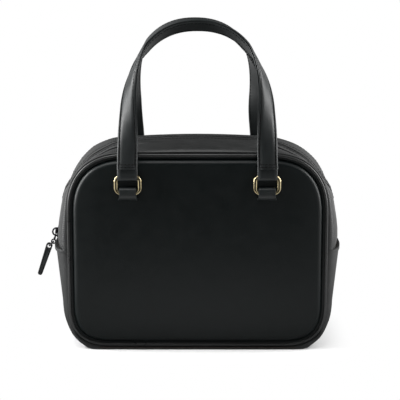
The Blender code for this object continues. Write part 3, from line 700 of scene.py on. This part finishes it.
def band(source, name, edges, side, sunk, thickness):
    """A strip of the skin between two depths of a side, sunk under it and given a thickness."""
    low, high = sorted(side * edge for edge in edges)
    piece = copy_of(source, name)
    edit(piece)
    cut(depth=low, keep="high")
    cut(depth=high, keep="low")
    leave()
    if sunk:
        apply_modifier(piece, "DISPLACE", strength=-sunk, mid_level=0)
    apply_modifier(piece, "SOLIDIFY", thickness=thickness, offset=-1)
    smooth(piece)
    return piece


def line_on(source, depth=None, height=None):
    """The points where the skin crosses a depth or a height, in order along it."""
    piece = copy_of(source, "line")
    edit(piece)
    cut(height, depth, keep="line")
    mesh = bmesh.from_edit_mesh(piece.data)
    ends = [point for point in mesh.verts if len(point.link_edges) == 1]
    here = min(ends, key=lambda point: (point.co.x, point.co.y))
    points = [here.co.copy()]
    edge = here.link_edges[0]
    while edge is not None:
        here = edge.other_vert(here)
        points.append(here.co.copy())
        edge = next((other for other in here.link_edges if other != edge), None)
    leave()
    bpy.data.objects.remove(piece)
    return points


def runs_along(points):
    """The length of a line up to each of its points."""
    runs = [0]
    for first, second in zip(points, points[1:]):
        runs.append(runs[-1] + (second - first).length)
    return runs


def along(points, index):
    """The direction of a line at one of its points."""
    after = points[min(index + 1, len(points) - 1)]
    before = points[max(index - 1, 0)]
    return (after - before).normalized()


def spread(points, step):
    """Points at an even spacing along a line."""
    runs = runs_along(points)
    count = max(round(runs[-1] / step), 1)
    out = []
    index = 0
    for number in range(count + 1):
        run = runs[-1] * number / count
        while index < len(points) - 2 and runs[index + 1] < run:
            index += 1
        part = (run - runs[index]) / max(runs[index + 1] - runs[index], 1e-9)
        out.append(points[index].lerp(points[index + 1], part))
    return out


def stitches(name, surface, line, pitch=0.0036, length=0.0027, radius=0.00027):
    """A row of sewn stitches laid on a surface along a line."""
    tree = BVHTree.FromObject(surface, bpy.context.evaluated_depsgraph_get())
    marks = spread(line, pitch)
    rows = []
    for first, second in zip(marks, marks[1:]):
        way = (second - first).normalized()
        middle = (first + second) / 2
        knots = []
        for shift, lift in ((-0.5, -0.6), (-0.32, 0.55), (0.32, 0.55), (0.5, -0.6)):
            spot, normal, _, _ = tree.find_nearest(middle + way * shift * length)
            knots.append(spot + normal * lift * radius)
        rows.append(knots)
    return wire(name, rows, radius, rounding=1)


# Panels, piping and linings

def start_sheet(pattern, name, depth, edge):
    """Starts to edit a sheet of the pattern, at a depth and drawn in by an edge."""
    piece = copy_of(pattern, name)
    edit(piece)
    pick_all()
    shift(depth)
    bpy.ops.mesh.select_mode(type="FACE")
    pick_all()
    inset(edge)
    bpy.ops.mesh.select_all(action="INVERT")
    bpy.ops.mesh.delete(type="FACE")
    return piece


def make_panel(pattern, side):
    """A leather panel with a rolled edge and a slightly crowned face."""
    name = f"{SIDES[side]}_panel"
    piece = start_sheet(pattern, name, side * PANEL_BACK_DEPTH, PANEL_EDGE)
    pick_all()
    extrude(side * (FLANGE_DEPTH - PANEL_BACK_DEPTH))
    inset(PANEL_FLANGE)
    inset(PANEL_GROOVE)
    shift(side * (GROOVE_DEPTH - FLANGE_DEPTH))
    extrude(side * (ROLL_DEPTH - GROOVE_DEPTH))
    at_roll = at_depth(side * ROLL_DEPTH)
    pick("EDGE", lambda edge: all_corners(edge, at_roll))
    bpy.ops.mesh.bevel(offset=PANEL_ROLL, segments=9, profile=0.5, affect="EDGES")
    pick("FACE", lambda face: len(face.verts) > 8 and all_corners(face, at_roll))
    for width, rise in CROWN_STEPS:
        inset(width)
        shift(side * rise)
    bpy.ops.mesh.delete(type="ONLY_FACE")
    pick("EDGE", lambda edge: all_corners(edge, at_depth(side * FACE_DEPTH)))
    bpy.ops.mesh.fill_grid()
    pick("EDGE", lambda edge: edge.is_boundary)
    bpy.ops.mesh.edge_face_add()
    for step in range(BEND_CUTS):
        cut(height=BEND_START + (BEND_END - BEND_START) * step / (BEND_CUTS - 1))
    turn_outward()
    leave()
    smooth(piece)
    wear(piece, body_leather)
    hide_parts(f"{name}_lower", f"{name}_upper")
    join_mouth(piece)


def make_piping(pattern, side):
    """Leather-covered cord in the seam round the panel."""
    name = f"{SIDES[side]}_piping"
    piece = copy_of(pattern, name)
    edit(piece)
    drop_faces()
    shift(side * SEAM_DEPTH)
    leave()
    choose(piece)
    bpy.ops.object.convert(target="CURVE")
    piece = bpy.context.object
    piece.data.bevel_depth = PIPING_RADIUS
    piece.data.bevel_resolution = 4
    bpy.ops.object.convert(target="MESH")
    piece = bpy.context.object
    bpy.ops.object.shade_smooth()
    wear(piece, piping_leather)
    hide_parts(f"{name}_lower", f"{name}_upper")
    join_mouth(piece)


def make_lining(pattern, side):
    """Cloth sheet behind the panel."""
    name = f"{SIDES[side]}_lining"
    piece = start_sheet(pattern, name, side * LINING_DEPTH, LINING_EDGE)
    pick("EDGE", lambda edge: True)
    bpy.ops.mesh.delete(type="ONLY_FACE")
    pick_all()
    bpy.ops.mesh.fill_grid()
    pick_all()
    extrude(-side * LINING)
    turn_outward()
    leave()
    smooth(piece)
    wear(piece, lining_cloth)
    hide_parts(f"{name}_lower", f"{name}_upper")
    join_mouth(piece)


# Gusset

def make_lower_gusset(pattern):
    """The lower gusset, its lining and the turned edges at its two ends."""
    low = skin(pattern, "lower_gusset", lower_bulge, "low", RIM_HEIGHT)
    lining = copy_of(low, "gusset_lining")
    apply_modifier(lining, "DISPLACE", strength=-GUSSET_LINING_SUNK, mid_level=0)
    apply_modifier(lining, "SOLIDIFY", thickness=LINING, offset=-1)
    smooth(lining)
    wear(lining, lining_cloth)
    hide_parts("gusset_lining")
    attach(lining, "bag")

    for hand in HANDS:
        half = copy_of(low, "half")
        edit(half)
        pick("VERT", lambda point, hand=hand: point.co.x * hand < 0)
        bpy.ops.mesh.delete(type="VERT")
        leave()
        line = line_on(half, height=RIM_HEIGHT - RIM_GAP)
        bpy.data.objects.remove(half)
        outline = hand * HALF_WIDTH * (1 + TAPER * (MIDDLE - RIM_HEIGHT) / (TOP - BOTTOM))
        line = [
            point - Vector((0, 0, BINDING / 2 - BINDING_RISE))
            for point in spread(line, BINDING_STEP)
            if (point.x - outline) * hand > BINDING_REACH]
        faces = []
        for index in range(len(line)):
            way = along(line, index)
            faces.append(Vector((way.y, -way.x, 0)).normalized() * hand)
        rim = strap(
            f"{HANDS[hand]}_gusset_binding", line, faces, [BINDING] * len(line), *BINDING_FACES)
        wear(rim, gusset_leather)
        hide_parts(f"{HANDS[hand]}_gusset_binding")
        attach(rim, "bag")

    apply_modifier(low, "SOLIDIFY", thickness=GUSSET_LEATHER, offset=-1)
    smooth(low)
    wear(low, gusset_leather)
    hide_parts("lower_gusset")
    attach(low, "bag")


def make_coil(name, line, side):
    """A wound nylon coil along the zip's edge."""
    centres = spread(line, COIL_STEP)
    loops = []
    for index, centre in enumerate(centres):
        up = along(centres, index).cross(ACROSS).normalized()
        turn = math.tau * index * COIL_STEP / COIL_PITCH
        loops.append(
            centre + (ACROSS * math.cos(turn) * side + up * math.sin(turn)) * COIL_RADIUS)
    piece = wire(name, [loops], COIL_WIRE, rounding=1)
    wear(piece, coil_nylon)
    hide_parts(name)
    join_mouth(piece)


def make_zip(pattern):
    """Leather strips, tapes and coils of the zip, in two halves."""
    high = skin(pattern, "zip_skin", upper_bulge, "high", RIM_HEIGHT + RIM_GAP)
    for side in SIDES:
        name = SIDES[side]
        strip = band(
            high, f"{name}_zip_strip", (STRIP_EDGE, SEAM_DEPTH + STRIP_TUCK), side, 0,
            STRIP_LEATHER)
        rows = [stitches("zip_stitches", strip, line_on(high, depth=side * ZIP_STITCHES))]
        fold = line_on(high, depth=side * CREASE)
        for hand in HANDS:
            corner = [point for point in fold if point.x * hand > 0.07 and point.z > 0.15]
            rows.append(stitches("crease_stitches", strip, corner))
        edge = [
            point + Vector((0, side * HEM_SHIFT, 0))
            for point in line_on(high, depth=side * STRIP_EDGE)]
        choose(strip, wire("hem", [edge], HEM_RADIUS))
        bpy.ops.object.join()
        wear(strip, strip_leather)
        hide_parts(f"{name}_zip_strip")
        thread = join(f"{name}_zip_stitching", *rows)
        wear(thread, sewing_thread)
        join_mouth(strip)
        join_mouth(thread)
        tape = band(high, f"{name}_zip_tape", TAPE_EDGES, side, TAPE_SUNK, TAPE)
        wear(tape, tape_cloth)
        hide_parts(f"{name}_zip_tape")
        join_mouth(tape)
        path = [
            point - (point - COIL_MIDDLE).normalized()
            * (0.0003 + 0.0011 * ease(0.160, 0.172, point.z))
            for point in line_on(high, depth=side * COIL_DEPTH) if point.z > COIL_FOOT]
        make_coil(f"{name}_zip_coil", path, side)
    bpy.data.objects.remove(high)


# Straps

def strap(name, places, faces, widths, low, high, lifts=PLAIN):
    """A leather strip swept along places, with its face turned as given."""
    edge = (low + high) / 2
    section = [(-1, edge)] + [(share, high + lift) for share, lift in lifts]
    section += [(1, edge)] + [(share, low) for share, lift in reversed(PLAIN)]
    points = []
    for index, place in enumerate(places):
        way = along(places, index)
        across = way.cross(faces[index]).normalized()
        face = across.cross(way)
        for share, offset in section:
            points.append(place + across * share * widths[index] / 2 + face * offset)
    count = len(section)
    shell = []
    for row in range(len(places) - 1):
        for index in range(count):
            after = (index + 1) % count
            shell.append((
                row * count + index, row * count + after, (row + 1) * count + after,
                (row + 1) * count + index))
    shell.append(tuple(range(count)))
    shell.append(tuple(range(len(points) - count, len(points))))
    mesh = bpy.data.meshes.new(name)
    mesh.from_pydata(points, [], shell)
    piece = add_object(name, mesh)
    edit(piece)
    turn_outward()
    leave()
    smooth(piece)
    return piece


def arc(centre, radius, start, end, count):
    """Points of a flat arc from one angle to another."""
    turns = [math.radians(start + (end - start) * step / count) for step in range(count + 1)]
    return [
        (centre[0] + radius * math.cos(turn), centre[1] + radius * math.sin(turn))
        for turn in turns]


def handle_line(side):
    """Places and face directions along a handle, from its left foot to its right one."""
    low, high = LEANS[side]
    radius = RISE / (high - low)
    foot_depth = BAR_DEPTH + LOOP_INSIDE + BACKING + STRAP_GAP
    half = [
        (RING_SPREAD - INWARD * step / LEG_STEPS, STRAIGHT * step / LEG_STEPS)
        for step in range(LEG_STEPS + 1)]
    for step in range(1, ARCH_STEPS + 1):
        turn = math.radians(90 * step / ARCH_STEPS)
        half.append((
            (RING_SPREAD - INWARD) * max(math.cos(turn), 0) ** (2 / ARCH_POWER),
            STRAIGHT + (RISE - STRAIGHT) * math.sin(turn) ** (2 / ARCH_POWER)))
    half[-1] = (0, RISE)
    places = []
    fronts = []
    for x, rise in [(-x, rise) for x, rise in half] + half[-2::-1]:
        angle = low + rise / radius
        drift = BACK_DRIFT * ease(0, 0.05, rise) if side > 0 else 0
        depth = foot_depth - radius * (math.cos(low) - math.cos(angle))
        height = FOOT + radius * (math.sin(angle) - math.sin(low))
        places.append(Vector((x - drift, side * depth, height)))
        fronts.append(Vector((0, side * math.cos(angle), math.sin(angle))))
    runs = runs_along(places)
    faces = []
    for index, upright in enumerate(fronts):
        way = along(places, index)
        front = (upright - way * upright.dot(way)).normalized()
        outward = front.cross(way) * -side
        run = min(runs[index], runs[-1] - runs[index])
        twist = math.pi / 2 * min(max((run - TWIST_START) / TWIST_LENGTH, 0), 1)
        faces.append(front * math.cos(twist) + outward * math.sin(twist))
    return places, faces


def edge_lines(places, faces, lift):
    """Two lines along a strap, a little in from its edges."""
    lines = []
    for hand in HANDS:
        line = []
        for index, place in enumerate(places):
            across = along(places, index).cross(faces[index]).normalized()
            line.append(
                place + across * hand * (STRAP_WIDTH / 2 - STITCH_INSET) + faces[index] * lift)
        lines.append(line)
    return lines


def make_handle(side):
    """Stitched strap, its backing with the loops round the rings, and the thread."""
    name = SIDES[side]
    body = f"{name}_handle"
    places, faces = handle_line(side)
    outer = strap(
        f"{name}_handle_strap", places, faces, [STRAP_WIDTH] * len(places), STRAP_GAP,
        STRAP_GAP + STRAP, PADDED)
    wear(outer, strap_leather)
    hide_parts(f"{name}_handle_strap")
    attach(outer, body)

    radius = LOOP_INSIDE + BACKING / 2
    loop = [(BAR_DEPTH - radius, HIGH_BAR + LOOP_TAIL - step * 0.002) for step in range(3)]
    turns = arc((0, 0), 1, 180, 360, 12)
    for across, up in turns:
        if across > 0:
            across = LOOP_FULLNESS * across ** LOOP_POWER
            up = -(-up) ** LOOP_POWER if up < 0 else 0
        loop.append((BAR_DEPTH + radius * across, HIGH_BAR - LOOP_DROP + radius * up))
    loop.append((BAR_DEPTH + radius * 1.5, HIGH_BAR + 0.0032))
    turns = [(-1, 0)] * 3 + turns + [(1, 0.1)]
    left = [Vector((-RING_SPREAD, side * depth, height)) for depth, height in loop]
    left_faces = [Vector((0, side * depth, height)) for depth, height in turns]
    right = [Vector((RING_SPREAD, place.y, place.z)) for place in left[::-1]]
    middle = BACKING / 2 + STRAP_GAP
    path = left + [place - face * middle for place, face in zip(places, faces)] + right
    backing = strap(
        f"{name}_handle_backing", path, left_faces + faces + left_faces[::-1],
        [BACKING_WIDTH] * len(path), -BACKING / 2, BACKING / 2)
    wear(backing, strap_leather)
    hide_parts(f"{name}_handle_backing")
    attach(backing, body)

    rows = []
    for label, surface, lift, radius in (
            ("stitches", outer, 0.002, 0.00036), ("stitches_inner", backing, -0.0016, 0.00027)):
        for number, line in enumerate(edge_lines(places, faces, lift)):
            rows.append(stitches(
                f"{name}_handle_{label}_{number}", surface, line[1:-1], radius=radius))
    for hand, foot in ((-1, places[0]), (1, places[-1])):
        for number, rise in enumerate((0.0024, 0.0052)):
            cross = [
                Vector((foot.x + reach, foot.y + side * 0.002, foot.z + rise))
                for reach in (-CROSS_STITCH, CROSS_STITCH)]
            rows.append(stitches(
                f"{name}_{HANDS[hand]}_cross_stitches_{number}", outer, cross, radius=0.0004))
    thread = join(f"{name}_handle_stitching", *rows)
    wear(thread, sewing_thread)
    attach(thread, body)


def make_tab(side, hand):
    """Leather tab that comes out of its slit and loops over the ring's lower bar."""
    name = f"{SIDES[side]}_{HANDS[hand]}_tab"
    tail = PANEL_BACK_DEPTH + TAB_LEATHER / 2
    radius = LOOP_INSIDE + TAB_LEATHER / 2
    bend = BAR_DEPTH + radius - TAB_BEND
    path = [(tail, LOW_BAR - 0.019), (tail, LOW_BAR - 0.012)]
    path += arc(
        (tail + SLIT_BEND, LOW_BAR - (TAB_BEND + SLIT_BEND)), SLIT_BEND, 180, 90, 4)
    path += arc((bend, LOW_BAR), TAB_BEND, -90, 0, 8)
    path += arc((BAR_DEPTH, LOW_BAR + TAB_SLACK), radius, 0, 180, 12)
    path.append((BAR_DEPTH - radius, LOW_BAR - 0.003))
    places = [Vector((hand * RING_SPREAD, side * depth, height)) for depth, height in path]
    faces = []
    widths = []
    for index in range(len(places)):
        way = along(places, index)
        faces.append(Vector((0, way.z, -way.y)) * side)
        widths.append(TAB_WIDTH - (TAB_WIDTH - LOOP_WIDTH) * ease(7, 15, index))
    piece = strap(name, places, faces, widths, -TAB_LEATHER / 2, TAB_LEATHER / 2)
    wear(piece, strap_leather)
    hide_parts(name)
    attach(piece, f"{SIDES[side]}_mouth")


def make_ring(side, hand):
    """Flat cast ring with rounded corners and softened edges."""
    name = f"{SIDES[side]}_{HANDS[hand]}_ring"
    place = (hand * RING_SPREAD, side * BAR_DEPTH, RING_HEIGHT)
    piece = add_shape(name, place, (RING_WIDTH, RING_TALL, 1))
    edit(piece)
    pick_all()
    round_corners(RING_CORNER, 12)
    bpy.ops.mesh.select_mode(type="FACE")
    pick_all()
    inset(RING_BAND)
    inner = RING_WIDTH / 2 - RING_BAND
    bpy.ops.transform.resize(
        value=((RING_WIDTH / 2 - RING_SIDE_BAND) / inner, 1, 1),
        center_override=(hand * RING_SPREAD, 0, RING_HEIGHT))
    bpy.ops.mesh.delete(type="FACE")
    leave()
    apply_modifier(piece, "SOLIDIFY", thickness=RING_METAL, offset=0)
    edit(piece)
    turn_outward()
    leave()
    soften(piece, RING_SOFT, 3)
    smooth(piece)
    wear(piece, pale_gold)
    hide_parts(name)
    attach(piece, f"{SIDES[side]}_rings")


# Zip pull

def circle(centre, radius, first, second, count=32, start=0, end=360):
    """Points on a circle in the plane of two directions."""
    points = [
        centre + (first * across + second * up) * radius
        for across, up in arc((0, 0), 1, start, end, count)]
    return points[:-1] if end - start == 360 else points


def make_slider_parts():
    """Bail, link and jump ring of the zip slider."""
    foot = BAIL_CENTRE - SLIDE_OUT * BAIL_WIRE
    arch = [foot + SLIDE_WAY * BAIL_RADIUS]
    arch += circle(BAIL_CENTRE, BAIL_RADIUS, SLIDE_OUT, SLIDE_WAY, 24, 90, -90)
    arch.append(foot - SLIDE_WAY * BAIL_RADIUS)
    bail = wire("zip_slider_bail", [arch], BAIL_WIRE)
    wear(bail, dark_metal)
    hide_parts("zip_slider_bail")
    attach(bail, "zip_slider")

    crown = add_shape(
        "zip_slider_crown", BAIL_CENTRE + SLIDE_OUT * 0.0002 + SLIDE_WAY * 0.0008,
        (0.0028, 0.0032, 0.0050), (0, math.atan2(SLIDE_WAY.x, SLIDE_WAY.z), 0),
        bpy.ops.mesh.primitive_cube_add)
    apply_modifier(crown, "BEVEL", width=0.0009, segments=4)
    smooth(crown)
    wear(crown, dark_metal)
    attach(crown, "zip_slider")

    down = (EYE_CENTRE - BAIL_CENTRE).normalized()
    upper = BAIL_CENTRE + down * BAIL_RADIUS
    loop = wire("link_loop", [circle(upper, LINK_LOOP, down, ACROSS)], RING_WIRE, closed=True)
    eye = wire(
        "link_eye", [circle(EYE_CENTRE, LINK_EYE, down, ACROSS.cross(down))], 0.0008, closed=True)
    neck = wire("link_neck", [[upper + down * LINK_LOOP, EYE_CENTRE - down * LINK_EYE]], 0.0012)
    link = join("zip_pull_link", eye, loop, neck)
    wear(link, dark_metal)
    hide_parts("zip_pull_link")
    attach(link, "pull_link")

    way = Vector((-math.sqrt(0.5), 0, -math.sqrt(0.5)))
    centre = EYE_CENTRE + way * JUMP_RING
    ring = wire(
        "zip_pull_ring", [circle(centre, JUMP_RING, way, ACROSS)], RING_WIRE, closed=True)
    wear(ring, dark_metal)
    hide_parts("zip_pull_ring")
    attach(ring, "zip_pull")
    make_pull(centre + way * JUMP_RING)


def make_pull(hole):
    """Leather pull, wide round its hole, narrow at its foot and stitched along its edges."""
    down = Vector((-math.sin(PULL_LEAN), 0, -math.cos(PULL_LEAN)))
    top = hole - down * PULL_HOLE_DROP
    middle = top + down * PULL_LENGTH / 2
    turn = Matrix.Rotation(PULL_LEAN, 3, "Y") @ Matrix.Rotation(math.pi / 2, 3, "X")
    piece = add_shape(
        "zip_pull_leather", middle, (PULL_WIDTH, PULL_LENGTH, 1), turn.to_euler())
    edit(piece)
    pick("VERT", lambda point: point.co.z < middle.z)
    bpy.ops.transform.resize(
        value=(PULL_NARROWS, 1, PULL_NARROWS), center_override=top + down * PULL_LENGTH)
    pick("VERT", lambda point: point.co.z > middle.z)
    round_corners(0.0032, 8)
    pick("VERT", lambda point: point.co.z < middle.z - 0.014)
    round_corners(0.0021, 6)
    leave()
    apply_modifier(piece, "SOLIDIFY", thickness=PULL_LEATHER, offset=0)
    edit(piece)
    turn_outward()
    leave()
    bpy.ops.object.select_all(action="DESELECT")
    bpy.ops.mesh.primitive_cylinder_add(
        vertices=20, radius=PULL_HOLE, depth=0.008, location=hole + down * 0.0004,
        rotation=UPRIGHT)
    drill = bpy.context.object
    apply_modifier(piece, "BOOLEAN", operation="DIFFERENCE", object=drill, solver="EXACT")
    bpy.data.objects.remove(drill)
    soften(piece, 0.0004, 2)
    smooth(piece)
    wear(piece, strap_leather)
    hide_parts("zip_pull_leather")
    sideways = ACROSS.cross(down)
    rows = []
    for face in SIDES:
        for hand in HANDS:
            line = [
                top + down * run + sideways * hand * reach + Vector((0, face * 0.0012, 0))
                for run, reach in ((0.008, 0.0022), (0.035, 0.0013))]
            rows.append(stitches("pull_stitches", piece, line, 0.0026, 0.0019, 0.0003))
    thread = join("zip_pull_stitching", *rows)
    wear(thread, sewing_thread)
    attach(piece, "zip_pull")
    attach(thread, "zip_pull")


# Floor, light and camera

def mix_shaders(tree, share, first, second):
    """Two shaders mixed by a share."""
    return add_node(tree, "MixShader", share, first, second).outputs[0]


def distance(tree, place, centre, stretch, reach, values):
    """A value that changes over a reach of distances from a place on the floor."""
    moved = add_node(
        tree, "Mapping", place, vector_type="POINT", Scale=stretch,
        Location=[-at * by for at, by in zip(centre, stretch)])
    length = vector_node(tree, "LENGTH", moved.outputs["Vector"])
    return carried(tree, length.outputs["Value"], reach, values)


def make_floor():
    """Pale floor that keeps the bag's shadow and is plain white further away; in reflections it
    is a painted glow, no lamp.
    """
    floor = add_shape("floor", (0, 0, 0), (FLOOR_SIZE, FLOOR_SIZE, 1), (0, 0, 0))
    material, tree, shader = shader_of(
        "pale_floor", Base_Color=(*grey(0.9), 1), Roughness=0.9, Specular_IOR_Level=0)
    place = object_place(tree)

    # Painted reflection: glossy rays see the floor as a glow, no lamp, dim straight in front,
    # bright to the sides, with a bright spot just in front of the bag
    painted_mirror_glow = add_node(tree, "Emission")
    far_glow = distance(tree, place, (0, -2.0, 0), (1, 0.12, 1), (0.26, 0.56), (0.02, 0.90))
    near_glow = distance(tree, place, (0, -0.22, 0), (0.40, 1, 1), (0.03, 0.20), (1.0, 0))
    tree.links.new(sum_node(tree, "ADD", far_glow, near_glow), painted_mirror_glow.inputs["Strength"])

    # Painted light: a faint glow added to the floor the camera sees near the bag, which lifts its
    # shadow a little
    painted_floor_glow = add_node(tree, "Emission", Strength=0.04)
    near = add_node(tree, "AddShader", painted_floor_glow.outputs[0], shader.outputs[0])
    white = add_node(tree, "Emission", Strength=1)
    across = vector_node(tree, "ABSOLUTE", place)
    outside = vector_node(tree, "SUBTRACT", across.outputs[0])
    outside.inputs[1].default_value = FOOTPRINT
    beyond = vector_node(tree, "MAXIMUM", outside.outputs[0])
    beyond.inputs[1].default_value = (0, 0, 0)
    away = vector_node(tree, "LENGTH", beyond.outputs[0])
    fade = carried(
        tree, away.outputs["Value"], (0, SHADOW_REACH), (0, 1), interpolation_type="SMOOTHSTEP")
    seen = mix_shaders(tree, fade, near.outputs[0], white.outputs[0])

    rays = add_node(tree, "LightPath")
    mirrored = mix_shaders(
        tree, rays.outputs["Is Glossy Ray"], shader.outputs[0], painted_mirror_glow.outputs[0])
    tree.links.new(
        mix_shaders(tree, rays.outputs["Is Camera Ray"], mirrored, seen),
        tree.nodes["Material Output"].inputs["Surface"])
    floor.data.materials.append(material)


def make_world():
    """White backdrop to the camera; as a light, dim in front and pale to the sides and behind."""
    world = bpy.data.worlds.new("studio")
    bpy.context.scene.world = world
    world.use_nodes = True
    tree = world.node_tree
    light = tree.nodes["Background"]
    light.inputs["Color"].default_value = (1, 1, 1, 1)
    way = add_node(tree, "TexCoord").outputs["Generated"]
    split = add_node(tree, "SeparateXYZ", way)
    sideways = sum_node(tree, "ABSOLUTE", split.outputs["X"])
    pale = ramp(tree, sideways, [
        (0.12, grey(0)), (0.45, grey(1)), (0.6, grey(1)), (0.85, grey(0.35))])
    behind = carried(tree, split.outputs["Y"], (-0.5, 0), (0, 1))
    both = sum_node(tree, "MULTIPLY", pale, behind)
    tree.links.new(carried(tree, both, (0, 1), (0.05, 0.85)), light.inputs["Strength"])
    white = add_node(tree, "Background", Color=(1, 1, 1, 1), Strength=1)
    rays = add_node(tree, "LightPath")
    tree.links.new(
        mix_shaders(tree, rays.outputs["Is Camera Ray"], light.outputs[0], white.outputs[0]),
        tree.nodes["World Output"].inputs["Surface"])


def add_lamp(name, place, size, power):
    """A soft box that points at the bag."""
    lamp = bpy.data.lights.new(name, "AREA")
    lamp.shape = "RECTANGLE"
    lamp.size, lamp.size_y = size
    lamp.energy = power
    holder = add_object(name, lamp)
    holder.location = place
    holder.rotation_euler = (LAMP_AIM - Vector(place)).to_track_quat("-Z", "Y").to_euler()


def make_light():
    """Soft boxes above and at both sides."""
    add_lamp("top_box", place=(-0.25, -0.24, 1.25), size=(1.0, 0.8), power=8.2)
    add_lamp("left_box", place=(-1.0, -0.12, 0.50), size=(0.5, 0.9), power=18)
    add_lamp("right_box", place=(1.0, -0.02, 0.50), size=(0.5, 0.9), power=11.5)


def make_camera():
    """Camera a little above the bag, square to its front."""
    lens = bpy.data.cameras.new("camera")
    lens.lens = FOCAL_LENGTH
    lens.sensor_width = SENSOR_WIDTH
    camera = add_object("camera", lens)
    camera.location = CAMERA_TARGET + Vector((0, -math.cos(CAMERA_PITCH), math.sin(CAMERA_PITCH)))
    camera.rotation_euler = (math.pi / 2 - CAMERA_PITCH, 0, 0)
    bpy.context.scene.camera = camera


def make_bag():
    """All the pieces of the bag."""
    pattern = bag_pattern()
    for side in SIDES:
        make_panel(pattern, side)
        make_piping(pattern, side)
        make_lining(pattern, side)
    make_lower_gusset(pattern)
    make_zip(pattern)
    bpy.data.objects.remove(pattern)
    for side in SIDES:
        make_handle(side)
        for hand in HANDS:
            make_tab(side, hand)
            make_ring(side, hand)
    make_slider_parts()
    for name in ("zip_slider", "front_zip_stop", "back_zip_stop", "zip_end_stop"):
        paint(nodes[name], dark_metal)
    paint(nodes["base_board"], board_card)


make_bag()
make_floor()
make_world()
make_light()
make_camera()
bpy.context.scene.view_settings.view_transform = "Standard"
